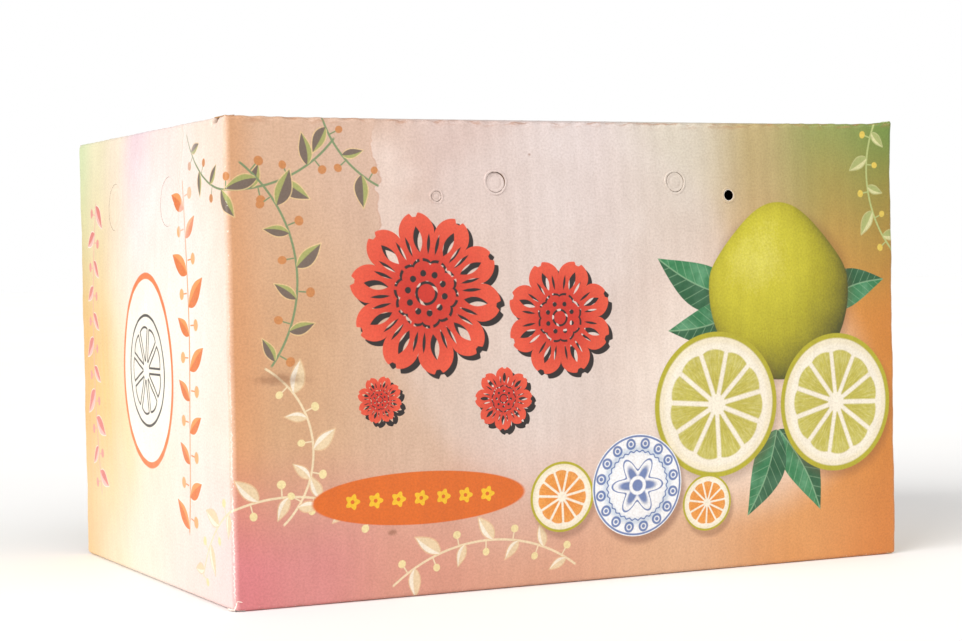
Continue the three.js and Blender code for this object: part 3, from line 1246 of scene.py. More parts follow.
@dataclass(frozen=True)
class Roundel(Layer):
    """A round of white china with a blue blossom inside a band of blue scrolls."""

    centre: Pair
    radius: float
    scrolls: float = 16.0
    petals: float = 6.0
    blue: str = "2E5CA6"

    def paint(self, sheet: PrintSheet) -> None:
        """Prints the china's soft shadow, then the china, then the blue lines.

        Args:
            sheet: The print so far.
        """
        middle = (self.centre[0] + 2.0, self.centre[1] - 3.5)
        Glow(middle, (self.radius, self.radius), 0.08, "7A4A38", 0.55).paint(sheet)
        local = sheet.about(self.centre)
        x, y = sheet.parts(local)
        r = sheet.length(local) / self.radius
        inside = r.fall(0.985, 1.0)
        sheet.lay(sheet.mix(ink("FAFBFD"), ink("D3DEEC"), abs(r - 0.70).fall(0.0, 0.12)), inside)
        turns = sheet.turns(x, y, self.scrolls)
        across = sheet.cell(turns) * r * FULL_TURN / self.scrolls
        away = sheet.hypot(across, r - 0.82)
        lines = sheet.most(abs(away - 0.085).fall(0.014, 0.032), away.fall(0.028, 0.05))
        lines = sheet.most(lines, abs(r - 0.955).fall(0.012, 0.026))
        wave = sheet.math("SINE", turns * FULL_TURN * 2.0) * 0.016 + 0.665
        lines = sheet.most(lines, abs(r - wave).fall(0.008, 0.02))
        petals = sheet.math("COSINE", turns * (FULL_TURN * self.petals / self.scrolls)) * 0.13 + 0.38
        bloom = (petals - r).rise(0.0, 0.04) * abs(r - 0.15).rise(0.02, 0.05)
        bloom = bloom * (petals * 0.86 - r).rise(-0.04, 0.1)
        lines = sheet.most(lines, sheet.most(bloom, abs(petals + 0.05 - r).fall(0.01, 0.03)))
        sheet.lay(self.blue, lines * inside * 0.85)


@dataclass(frozen=True)
class LineWheel(Layer):
    """A citrus wheel drawn in dark lines."""

    centre: Pair
    radius: float
    segments: float
    code: str

    def paint(self, sheet: PrintSheet) -> None:
        """Prints two rings and the outlines of the segments.

        Args:
            sheet: The print so far.
        """
        local = sheet.about(self.centre)
        x, y = sheet.parts(local)
        r = sheet.length(local) / self.radius
        cell = sheet.cell(sheet.turns(x, y, self.segments))
        wall = (0.5 - abs(cell)) * r * FULL_TURN / self.segments
        outer = sheet.math("COSINE", cell * math.pi) ** 0.4 * 0.08 + 0.70
        inside = sheet.least(wall - 0.03, sheet.least(outer - r, r - 0.16))
        line = abs(inside - 0.02).fall(0.012, 0.028)
        ring = abs(r - 0.96).fall(0.016, 0.034)
        sheet.lay(self.code, sheet.most(line, ring))


@dataclass(frozen=True)
class TideLine(Layer):
    """The jagged edge of a dried water mark, upright on a wall."""

    middle: Pair
    reach: float
    sway: float
    code: str

    def paint(self, sheet: PrintSheet) -> None:
        """Prints the faint wash on one side of the mark and its darker edge.

        Args:
            sheet: The print so far.
        """
        x, y = sheet.parts(sheet.about(self.middle))
        ragged = sheet.noise(sheet.scaled(sheet.position, (0.3, 1.0, 1.0)), 0.055, 3.0, 0.55) - 0.5
        side = x + ragged * self.sway
        tall = abs(y).fall(self.reach * 0.6, self.reach)
        sheet.lay("FBEFEA", side.rise(0.0, 0.6) * side.fall(6.0, 26.0) * tall * 0.38)
        sheet.lay(self.code, abs(side).fall(0.15, 0.8) * tall * 0.30)


@dataclass(frozen=True)
class Smudge(Layer):
    """A soft brown handling mark."""

    centre: Pair
    radii: Pair
    strength: float

    def paint(self, sheet: PrintSheet) -> None:
        """Darkens the print inside a cloudy ellipse."""
        away = sheet.ellipse(self.centre, self.radii) + sheet.noise(sheet.position, 0.35, 3.0)
        sheet.lay("8A5A3A", (away - 0.5).fall(0.2, 1.0) * self.strength)


CORNER_SPRIGS = (
    Sprig((2, 252), 64, 268, 60, SprigTone.OLIVE, 14, 15),
    Sprig((-34, 148), 66, 8, 52, SprigTone.OLIVE, 15, 15),
    Sprig((26, -24), 74, 104, 62, SprigTone.CREAM, 14, 15),
)
LONG_WALL_LAYERS = (
    Glow((170, 132), (92, 88), 0.10, "EADEDA", 0.30),
    TideLine((72, 176), 46, 24, "C99A86"),
    Glow((266, 90), (66, 56), 0.32, "FBEEE2", 0.60),
    *CORNER_SPRIGS,
    Sprig((96, 236), 52, 206, 34, SprigTone.OLIVE, 13, 14),
    Sprig((-6, 70), 44, 6, 42, SprigTone.CREAM, 13, 14),
    Sprig((126, -52), 76, 92, 52, SprigTone.CREAM, 13, 14),
    Sprig((402, 196), 58, 176, 52, SprigTone.LIME, 12, 14),
    Rosette((94, 140), 38, 10, 8),
    Rosette((162, 127), 28, 8, 0),
    Rosette((132, 90), 15, 8, 20),
    Rosette((70, 92), 11, 8, 5),
    Badge((90, 46), (54, 12.5), "DE6A12", "DE6A12", 1.0, 7),
    Leaf((262, 134), 156, 50, 23),
    Leaf((264, 128), 192, 44, 20, "0F4022", "2C7A4A"),
    Leaf((314, 130), 16, 42, 20),
    Leaf((286, 68), -58, 50, 21),
    Leaf((285, 68), -112, 46, 20, "0F4022", "2C7A4A"),
    Fruit((288, 137), 43),
    Fruit((249, 82), 36, 12, 1.0),
    Fruit((322, 80), 35, 31, 1.0),
    Fruit((163, 42), 17, 12),
    Roundel((204, 45), 25),
    Fruit((244, 34), 14, 40),
    Smudge((24, 103), (18, 4.0), 0.5),
    Smudge((76, 31), (3, 2.2), 0.6),
    Smudge((150, 205), (1.4, 1.1), 0.6),
)
END_WALL_LAYERS = (
    Glow((-92, 150), (70, 62), 0.5, "FFF4F0", 0.6),
    *CORNER_SPRIGS,
    Badge((-108, 104), (40, 48), "FFFAEC", "F07A2C", 2.6),
    LineWheel((-108, 104), 28, 9, "3A332A"),
    Sprig((-446, 112), 400, 0, 84, SprigTone.ORANGE, 20, 15),
    Sprig((190, 112), 400, 180, 78, SprigTone.BLUSH, 18, 14),
    TideLine((-58, 196), 40, 20, "E6BFA6"),
)


# Finishes


@dataclass(frozen=True)
class PrintFinish:
    """Satin varnish over a print on white paper."""

    name: str
    layers: tuple[Layer, ...] = ()
    white: float = 0.86
    roughness: float = 0.36
    bump: float = 0.30
    grain_depth: float = 0.14 * MM

    def material(self) -> Material:
        """Builds the material from the ground, the motifs in order, and the wear.

        Returns:
            The material.
        """
        material = bpy.data.materials.new(self.name)
        canvas = Canvas.of(material)
        place = canvas.wire("ShaderNodeUVMap", {}, uv_map=PRINT_MAP)
        position = canvas.scaled(place, (1 / MM, 1 / MM, 0.0))
        sheet = PrintSheet(canvas.tree, position, GroundTint.stamp(canvas, Position=position)["Colour"])
        for layer in self.layers:
            layer.paint(sheet)
            sheet.tie()
        grain = PaperGrain.stamp(sheet, Position=sheet.solid(), Fibre=0.35)
        sheet.tint("F0EAE6", grain["Mottle"].rise(0.3, 0.7), 0.35)
        streaks = sheet.noise(sheet.scaled(sheet.position, (0.20, 0.05, 1.0)), 1.0, 3.0, 0.6)
        sheet.tint("F1EFED", streaks.rise(0.3, 0.7), 0.35)
        sheet.tint("E6E3E0", sheet.noise(sheet.position, 0.9, 3.0, 0.7).rise(0.30, 0.66), 0.7)
        wear = FoldWear.stamp(sheet, Position=sheet.position)
        sheet.lay("A8683A", wear["Stain"] * 0.55)
        sheet.lay("FBF6F0", wear["Rub"] * 0.35)
        sheet.lay("FAF4EC", wear["Crack"] * 0.8)
        colour = sheet.mix(sheet.colour, (self.white, self.white, self.white, 1.0), 1.0, "MULTIPLY")
        rough = grain["Mottle"] * 0.12 + (self.roughness - 0.06) + wear["Crack"] * 0.3
        sheet.finish(colour, rough, grain["Height"], self.bump, self.grain_depth)
        return material


@dataclass(frozen=True)
class PaperFinish:
    """Bare paper with lying fibres."""

    name: str
    pale: str
    deep: str
    speck: str
    roughness: float = 0.82
    bump: float = 0.35
    grain_depth: float = 0.12 * MM

    def material(self) -> Material:
        """Builds the material.

        Returns:
            The material.
        """
        material = bpy.data.materials.new(self.name)
        canvas = Canvas.of(material)
        solid = canvas.solid()
        grain = PaperGrain.stamp(canvas, Position=solid, Fibre=1.0)
        colour = canvas.mix(ink(self.deep), ink(self.pale), grain["Mottle"].rise(0.1, 0.9))
        streak = canvas.noise(canvas.scaled(solid, (1.0, 1.0, 0.12)), 420.0, 3.0, 0.6)
        colour = canvas.mix(colour, ink(self.deep), streak.rise(0.5, 0.75) * 0.5)
        specks = canvas.noise(solid, 700.0, 2.0, 0.7)
        colour = canvas.mix(colour, ink(self.speck), specks.rise(0.66, 0.74) * 0.6)
        rough = grain["Mottle"] * 0.12 + (self.roughness - 0.06)
        canvas.finish(colour, rough, grain["Height"], self.bump, self.grain_depth)
        return material


@dataclass(frozen=True)
class WireFinish:
    """Copper-washed steel wire with drawn scratches and dull patches."""

    name: str
    bright: str = "D9B48C"
    dull: str = "8C6A4C"
    bump: float = 0.15
    scratch_depth: float = 0.05 * MM

    def material(self) -> Material:
        """Builds the material.

        Returns:
            The material.
        """
        material = bpy.data.materials.new(self.name)
        canvas = Canvas.of(material)
        solid = canvas.solid()
        patch = canvas.noise(solid, 260.0, 4.0, 0.6)
        scratch = canvas.noise(canvas.scaled(solid, (0.1, 1.0, 1.0)), 2600.0, 2.0)
        colour = canvas.mix(ink(self.bright), ink(self.dull), patch.rise(0.45, 0.75))
        rough = patch * 0.3 + scratch * 0.16 + 0.16
        canvas.finish(colour, rough, scratch, self.bump, self.scratch_depth, metal=1.0)
        return material


@dataclass
class Wardrobe:
    """The materials of the carton, each built once."""

    long_print: Material
    end_print: Material
    plain_print: Material
    liner: Material
    fluting: Material
    torn: Material
    wire: Material

    @classmethod
    def build(cls) -> Wardrobe:
        """Builds every material.

        Returns:
            The materials.
        """
        finishes = (
            PrintFinish("long_wall_print", LONG_WALL_LAYERS),
            PrintFinish("end_wall_print", END_WALL_LAYERS),
            PrintFinish("flap_print"),
            PaperFinish("kraft_liner", "B98D60", "9C7146", "5E4126"),
            # The fluting's browns are darkened well below the liner's as painted shade, standing in for the
            # shadow between the flutes.
            PaperFinish("kraft_fluting_painted_shade", "8A6540", "68492B", "3C2A18"),
            PaperFinish("torn_paper", "F7F1E8", "E6D8C8", "C9B49C"),
            WireFinish("stitch_wire"),
        )
        return cls(*(finish.material() for finish in finishes))

    def wall_print(self, side: Side) -> Material:
        """The print of a wall."""
        return self.long_print if side.is_long else self.end_print


# Walls and vents


@dataclass
class Assembly:
    """Pieces on one side of the carton, with what all of them share."""

    side: Side
    blank: Blank
    handling: Handling
    wardrobe: Wardrobe

    @property
    def middle_u(self) -> float:
        """The print's U at the wall's middle."""
        return self.blank.print_left(self.side) + self.blank.half_width(self.side)

    def place(self, s: Array, d: Array, z: Array) -> Array:
        """Turns points given from the side into the carton's frame."""
        return self.blank.place(self.side, s, d, z)

    def local(self, point: Sequence[float]) -> Triple:
        """Sees a point of the carton's frame from the side."""
        return self.blank.local(self.side, point)

    def inward(self, s: Array, z: Array) -> Array:
        """How far handling moved the wall's surface inwards."""
        return self.handling.inward(self.side, s, z)


class VentState(Enum):
    """What has become of a vent's knock-out disc."""

    CLOSED = "closed"
    PUSHED = "pushed"
    OPEN = "open"


@dataclass(frozen=True)
class Vent:
    """A round vent in a wall, with the node of its disc if the disc is still there."""

    s: float
    z: float
    radius: float
    state: VentState
    node: Union[str, None] = None


@dataclass(frozen=True)
class Fold:
    """A flat with a fold at each end: half of its size as if the folds were sharp, their radius, how far
    they turn, and the length of the straight lip after them."""

    half: float
    radius: float
    angle: float
    lip: float = 0.0

    @property
    def flat(self) -> float:
        """Half of the flat between the folds."""
        return self.half - self.radius

    def follow(self, place: Array, depth: float) -> tuple[Array, Array]:
        """Follows the flat and its folds.

        Args:
            place: Place from the middle, measured round the folds.
            depth: Depth into the board from the outer face.
        Returns:
            The straight distance from the middle, and how far the place has sunk inwards.
        """
        size = np.abs(place)
        end = self.flat + self.radius * self.angle
        if depth > self.radius:
            start, reach = self.half - 4 * depth, self.half - depth
            squeezed = start + (size - start) * (reach - start) / (end + self.lip - start)
            return np.sign(place) * np.where(size < start, size, squeezed), np.zeros_like(size)
        turn = np.clip((size - self.flat) / self.radius, 0, self.angle)
        inner = self.radius - depth
        away = np.minimum(size, self.flat) + inner * np.sin(turn)
        return np.sign(place) * away, inner * (1 - np.cos(turn)) + np.maximum(size - end, 0)


@dataclass
class Wall(Assembly):
    """One wall of the carton, with its rounded folds, vents and knock-out discs."""

    long_clearance: float = 0.19 * MM
    end_clearance: float = 0.08 * MM
    notch_half: float = 5 * MM
    notch_round: float = 1.2 * MM
    notch_inset: float = 1 * MM
    notch_depth: float = 2.3 * MM
    notch_reach: Pair = (14 * MM, 6 * MM)
    bore_reach: float = 16 * MM
    open_growth: float = 0.35 * MM
    open_skin: float = 0.4 * MM
    open_flare: float = 0.62
    lip_gap: float = 0.05 * MM
    lip_size: float = 0.11 * MM
    rim_gap: float = 0.8 * MM
    rim_half: float = 0.6 * MM
    rim_height: float = 0.24 * MM
    disc_round: float = 0.16 * MM
    disc_ring: float = 0.15 * MM
    push_depth: float = 0.35 * MM
    push_tilt: float = 0.09

    @property
    def name(self) -> str:
        """The wall's node in the frame."""
        return f"{self.side.label}_panel"

    @property
    def corner(self) -> Fold:
        """The wall's width and its half of the upright folds."""
        return Fold(self.blank.half_width(self.side), self.blank.corner_radius, math.pi / 4)

    @property
    def bend(self) -> Fold:
        """The wall's height and its part of the level folds.

        Returns:
            The fold at the top, which is also that at the bottom.
        """
        blank = self.blank
        if self.side.is_long:
            return Fold(blank.height / 2, blank.crease_radius, math.pi / 4)
        lip = blank.ridge_end - blank.ridge_radius
        return Fold(blank.height / 2 - blank.end_drop, blank.ridge_radius, math.pi / 2, lip)

    def columns(self) -> Array:
        """Places along the wall from its middle, measured round its upright folds."""
        turn = self.corner.flat + self.blank.corner_radius * np.linspace(0, math.pi / 4, 11)[1:]
        return np.concatenate([-turn[::-1], self.blank.fluted_span(self.corner.flat), turn])

    def rows(self) -> Array:
        """Spaces points up the wall, closer towards its folds.

        Returns:
            Places from the middle, measured round the level folds.
        """
        bend = self.bend
        turn = bend.radius * np.linspace(0, bend.angle, 9)[1:]
        near = bend.flat - np.geomspace(0.7 * MM, 14 * MM, 9)[::-1]
        middle = np.linspace(-near[0], near[0], 66)
        over = turn[-1] + np.linspace(0, bend.lip, 4)[1:] if bend.lip else []
        rising = np.concatenate([near[1:], [bend.flat], bend.flat + turn, bend.flat + np.array(over)])
        return np.concatenate([-rising[::-1], middle, rising])

    def shaped(self, a: Array, b: Array, depth: float) -> Array:
        """Shapes the wall's outer or inner surface, handling included.

        Args:
            a: Place along the wall, measured round the upright folds.
            b: Place up the wall, measured round the level folds.
            depth: 0 on the outer face and the board's thickness on the inner one.
        Returns:
            The points of the surface.
        """
        s, sunk_s = self.corner.follow(a, depth)
        z, sunk_z = self.bend.follow(b, depth)
        z = self.blank.height / 2 + z
        d = depth + sunk_s + sunk_z + self.inward(s, z)
        last = self.rows()[-1]
        lift = self.handling.wave(s)
        top = np.exp(-(last - b) / self.handling.wave_reach)
        base = np.exp(-(last + b) / self.handling.wave_reach)
        d = d - 0.5 * lift * (top + 0.6 * base)
        z = z + 0.7 * lift * top + 0.25 * np.abs(lift) * base
        if self.side.is_long:
            half, sunk = self.blank.height / 2, self.handling.sag(s)
            z = z - sunk * smoothstep(half - self.handling.sag_depth, half, b)
        else:
            low, high = self.notch_reach
            z = z - self.notch(s) * smoothstep(last - low, last - high, b)
        return self.handling.knock(self.place(s, d, z))

    def notch(self, s: Array) -> Array:
        """Cuts an end wall's top down where the slot beside its flap ends, next to the front.

        Args:
            s: Place along the wall.
        Returns:
            The depth of the cut.
        """
        _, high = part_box(f"top_{self.side.label}_flap")
        middle = abs(self.local(high)[0]) - self.notch_inset
        front = s if self.side is Side.LEFT else -s
        outside = smoothstep(self.notch_half - self.notch_round, self.notch_half, np.abs(front - middle))
        return self.notch_depth * (1 - outside)

    def layout(self, a: Array, b: Array) -> Array:
        """Lays places round the folds out on the flat blank."""
        u = self.middle_u + a / self.columns()[-1] * self.blank.half_width(self.side)
        return np.stack([u, self.blank.height / 2 + b], axis=-1)

    def lay(self, piece: Piece) -> None:
        """Moves a small piece that was modelled as s, d and z onto the wall, and maps its print.

        Args:
            piece: The piece.
        """
        s, d, z = read_points(piece).T
        write_points(piece, self.place(s, d + self.inward(s, z), z))
        write_print_map(piece, np.stack([self.middle_u + s, z], axis=-1))

    def vents(self) -> list[Vent]:
        """Finds the wall's vents from the nodes of their discs, and adds the one that is open.

        Returns:
            The vents.
        """
        found = []
        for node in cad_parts:
            if node.startswith(f"{self.side.label}_vent_plug"):
                low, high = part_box(node)
                s, _, z = self.local((low + high) / 2)
                state = VentState.PUSHED if node == "front_vent_plug_large_left" else VentState.CLOSED
                found.append(Vent(s, z, (high.z - low.z) / 2, state, node))
        if self.side is Side.FRONT:
            match = next(v for v in found if v.node == "front_vent_plug_small_left")
            found.append(Vent(-match.s, match.z, match.radius + self.open_growth, VentState.OPEN))
        return found

    def drum(self, vent: Vent, radius: float, front: float, back: float, sides: int) -> Piece:
        """Adds a cylinder through the wall at a vent, in s, d and z."""
        return add(bpy.ops.mesh.primitive_cylinder_add, "drum", vertices=sides, radius=radius,
                   depth=back - front, location=(vent.s, (front + back) / 2, vent.z),
                   rotation=(math.pi / 2, 0, 0))

    def build(self) -> None:
        """Models the wall, cuts its vents and fills them with their discs."""
        sheet = Sheet(f"{self.name}_board", self.columns(), self.rows())
        wall = sheet.build(self.shaped, (0.0, self.blank.board), self.layout, 1 if self.side.is_long else 0)
        dress(wall, self.wardrobe.wall_print(self.side), self.wardrobe.liner)
        bores = [self.bore(vent) for vent in self.vents()]
        for bore in bores:
            dress(bore, self.wardrobe.fluting)
        cutter = join(bores, f"{self.name}_cutter")
        s, d, z = read_points(cutter).T
        write_points(cutter, self.place(s, d, z))
        cut_away(wall, cutter)
        smooth_faces(wall)
        settle(wall, SHELL, [self.name])
        for vent in self.vents():
            if vent.node:
                self.build_disc(vent)
            else:
                self.build_lip(vent)
        if self.side.is_long:
            self.build_rims()

    def bore(self, vent: Vent) -> Piece:
        """Models the cutter of a vent, which flares inwards where the disc was torn out.

        Args:
            vent: The vent.
        Returns:
            The cutter.
        """
        board, reach = self.blank.board, self.bore_reach
        if vent.state is not VentState.OPEN:
            clearance = self.long_clearance if self.side.is_long else self.end_clearance
            return self.drum(vent, vent.radius + clearance, -reach, board + reach, 40)
        skin = self.inward(np.array([vent.s]), np.array([vent.z]))[0] + self.open_skin
        bore = self.drum(vent, vent.radius, -reach, skin, 40)
        select_faces(bore, lambda face: face.normal.y > 0.9)
        bpy.ops.mesh.extrude_region_move(TRANSFORM_OT_translate={"value": (0, 1.5 * board, 0)})
        spread = 1 + 1.5 * board * self.open_flare / vent.radius
        bpy.ops.transform.resize(value=(spread, 1, spread))
        bpy.ops.object.mode_set(mode="OBJECT")
        return bore

    def build_disc(self, vent: Vent) -> None:
        """Models a knock-out disc with its pressed ring and rounded edge.

        Args:
            vent: The disc's vent.
        """
        disc = self.drum(vent, vent.radius, 0.0, self.blank.board, 48)
        disc.name = f"{vent.node}_disc"
        select_faces(disc, lambda face: face.normal.y < -0.9)
        bpy.ops.mesh.bevel(offset=self.disc_round, segments=3, affect="EDGES")
        bpy.ops.object.mode_set(mode="OBJECT")
        widest = max(face.area for face in disc.data.polygons if face.normal.y < -0.9)
        select_faces(disc, lambda face: face.normal.y < -0.9 and face.area > 0.9 * widest)
        for share, depth in ((0.22, 0.0), (0.08, -self.disc_ring), (0.08, self.disc_ring), (0.25, 0.0)):
            bpy.ops.mesh.inset(thickness=vent.radius * share, depth=depth)
        bpy.ops.object.mode_set(mode="OBJECT")
        if vent.state is VentState.PUSHED:
            points = read_points(disc)
            upper = (points[:, 2] - vent.z) / vent.radius
            points[:, 1] += self.push_depth + self.push_tilt * vent.radius * upper
            write_points(disc, points)
        self.lay(disc)
        dress(disc, self.wardrobe.wall_print(self.side), self.wardrobe.liner)
        outward = self.blank.outward(self.side)
        for face in disc.data.polygons:
            face.material_index = 0 if face.normal @ outward > 0.2 else 1
        smooth_faces(disc, 60)
        settle(disc, SHELL, [vent.node])

    def ring(self, vent: Vent, radius: float, half_width: float, height: float) -> Piece:
        """Adds a low ring round a vent, in s, d and z.

        Args:
            vent: The vent.
            radius: The radius of the ring's ridge.
            half_width: Half of the ring's width.
            height: How far its ridge stands off the wall.
        Returns:
            The ring, with an uneven outline.
        """
        ring = add(bpy.ops.mesh.primitive_torus_add, "ring", location=(vent.s, 0, vent.z),
                   rotation=(math.pi / 2, 0, 0), major_radius=radius, minor_radius=half_width,
                   major_segments=64, minor_segments=10)
        points = read_points(ring)
        angle = np.arctan2(points[:, 2] - vent.z, points[:, 0] - vent.s)
        ragged = 0.3 * half_width * (np.sin(angle * 3 + vent.s * 900) + 0.6 * np.sin(angle * 11) / 2)
        points[:, 0] += ragged * np.cos(angle)
        points[:, 2] += ragged * np.sin(angle)
        points[:, 1] *= height / half_width * (1 + 0.4 * np.sin(angle * 2 + vent.s * 700))
        write_points(ring, points)
        return ring

    def build_lip(self, vent: Vent) -> None:
        """Models the torn paper lip round a vent whose disc is gone.

        Args:
            vent: The vent.
        """
        lip = self.ring(vent, vent.radius + self.lip_gap, self.lip_size, self.lip_size)
        lip.name = f"{self.side.label}_open_vent_lip"
        self.lay(lip)
        dress(lip, self.wardrobe.torn)
        smooth_faces(lip, 80)
        settle(lip, SHELL)

    def build_rims(self) -> None:
        """Models the print raised round each vent by the punch."""
        rings = [self.ring(vent, vent.radius + self.rim_gap, self.rim_half, self.rim_height)
                 for vent in self.vents()]
        rims = join(rings, f"{self.side.label}_vent_rims")
        self.lay(rims)
        dress(rims, self.wardrobe.wall_print(self.side))
        smooth_faces(rims, 80)
        settle(rims, SHELL)


# Flaps


class Extent(NamedTuple):
    """A flap's half width, its near and far d, and the z of its face and its back, as for a top flap."""

    half: float
    near: float
    far: float
    top: float
    base: float


@dataclass
class Flap(Assembly):
    """A flap of three papers: a printed liner, the fluting and a kraft liner."""

    edge: Edge
    face_paper: float = 0.45 * MM
    back_paper: float = 0.35 * MM
    flute_paper: float = 0.25 * MM
    flute_share: float = 0.55
    flute_gap: float = 0.06 * MM
    flute_inset: float = 0.1 * MM

    @property
    def name(self) -> str:
        """The flap's node in the frame."""
        return f"{self.edge.label}_{self.side.label}_flap"

    @property
    def body(self) -> str:
        """The body that the flap moves with."""
        return f"{self.side.label}_lid" if self.edge is Edge.TOP else SHELL

    @property
    def extent(self) -> Extent:
        """Where the flap's node is.

        Returns:
            The extent.
        """
        low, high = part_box(self.name)
        s0, d0, z0 = self.local(low)
        s1, d1, z1 = self.local(high)
        if self.edge is Edge.BOTTOM:
            z0, z1 = self.blank.height - z1, self.blank.height - z0
        return Extent(abs(s1), min(d0, d1), max(d0, d1), z1, z0)

    def face_rows(self) -> Array:
        """Places along the printed liner, from the crease to the free edge."""
        raise NotImplementedError

    def back_rows(self) -> Array:
        """Places along the kraft liner, from the crease to the free edge."""
        raise NotImplementedError

    def back_flat(self, length: float) -> Array:
        """Places along the flat part of the kraft liner, closer at its start."""
        return np.concatenate([[0.4 * MM, 2 * MM], np.linspace(6 * MM, length, 14)])

    def face_at(self, b: Array, depth: float) -> tuple[Array, Array]:
        """The d and z of a place along the printed liner, at a depth into the board."""
        raise NotImplementedError

    def back_at(self, b: Array, depth: float) -> tuple[Array, Array]:
        """The d and z of a place along the kraft liner, at a depth into the board."""
        raise NotImplementedError

    def pressed(self, s: Array, d: Array) -> Array:
        """How far the printed liner is pressed into the board by wire."""
        return np.zeros_like(s)

    def tongue(self, s: Array, d: Array) -> Array:
        """How far the printed liner reaches past the board's own ends."""
        return np.zeros_like(s)

    def set_down(self, s: Array, d: Array, z: Array) -> Array:
        """Brings points given as for a top flap to the flap's own edge of the carton."""
        height = z if self.edge is Edge.TOP else self.blank.height - z
        return self.handling.knock(self.place(s, d, height))

    def creased(self, s: Array, d: Array, z: Array) -> Array:
        """Brings points to the flap's edge, with the waves and sag of its crease.

        Args:
            s: Place along the crease.
            d: Place away from the crease.
            z: Height, as for a top flap.
        Returns:
            The points.
        """
        near = np.exp(-np.maximum(d, 0) / self.handling.wave_reach)
        lift = self.handling.wave(s) * near
        if self.edge is Edge.TOP:
            d = d - 0.5 * lift
            z = z + 0.7 * lift
            z = z - self.handling.sag(s) * (1 - smoothstep(0, self.handling.flap_sag_reach, d))
        else:
            z = z - 0.25 * np.abs(lift)
        return self.set_down(s, d, z)

    def face_points(self, s: Array, b: Array, depth: float) -> Array:
        """Shapes the printed liner.

        Args:
            s: Place along the crease.
            b: Place along the liner, from the crease.
            depth: Depth into the board.
        Returns:
            The liner's points.
        """
        d, z = self.face_at(b, depth)
        rise = self.flute_share * self.blank.flute_show * (self.blank.flute(s) - 1)
        return self.creased(s + self.tongue(s, d), d, z + rise - self.pressed(s, d))

    def back_points(self, s: Array, b: Array, depth: float) -> Array:
        """Shapes the kraft liner, as face_points does the printed one."""
        d, z = self.back_at(b, depth)
        return self.creased(s, d, z + 0.5 * self.blank.flute_show * (self.blank.flute(s) + 1))

    def flute_points(self, s: Array, d: Array, depth: float) -> Array:
        """Shapes the fluting as a wave across the flap.

        Args:
            s: Place along the crease.
            d: Place away from the crease.
            depth: Depth into the paper.
        Returns:
            The fluting's points.
        """
        extent = self.extent
        low, high = extent.base + self.back_paper, extent.top - self.face_paper
        height = (high - low - self.flute_paper) / 2 - self.flute_gap
        z = (low + high) / 2 + height * self.blank.flute(s + self.blank.flute_pitch / 4)
        return self.set_down(s, d, z + self.flute_paper / 2 - depth)

    def layout(self, s: Array, b: Array) -> Array:
        """Lays the flap out on the flat blank, beyond the wall's own edge."""
        v = self.blank.height + b if self.edge is Edge.TOP else -b
        return np.stack([self.middle_u + s, v], axis=-1)

    def build(self) -> None:
        """Models the three papers and joins them into the flap."""
        extent = self.extent
        across = self.blank.fluted_span(extent.half) * self.edge.value
        depths = np.linspace(extent.near + self.blank.board, extent.far - self.flute_inset, 4)
        face = Sheet("printed_liner", across, self.face_rows()).build(
            self.face_points, (0.0, self.face_paper), self.layout)
        dress(face, self.wardrobe.plain_print, self.wardrobe.liner)
        back = Sheet("kraft_liner", across[::-1], self.back_rows()).build(
            self.back_points, (0.0, self.back_paper), self.layout, rim=0)
        dress(back, self.wardrobe.liner, self.wardrobe.fluting)
        wave = Sheet("fluting", across, depths).build(
            self.flute_points, (0.0, self.flute_paper), self.layout, rim=0)
        dress(wave, self.wardrobe.fluting, self.wardrobe.fluting)
        flap = join([face, back, wave], f"{self.name}_board")
        settle(flap, self.body, [self.name])


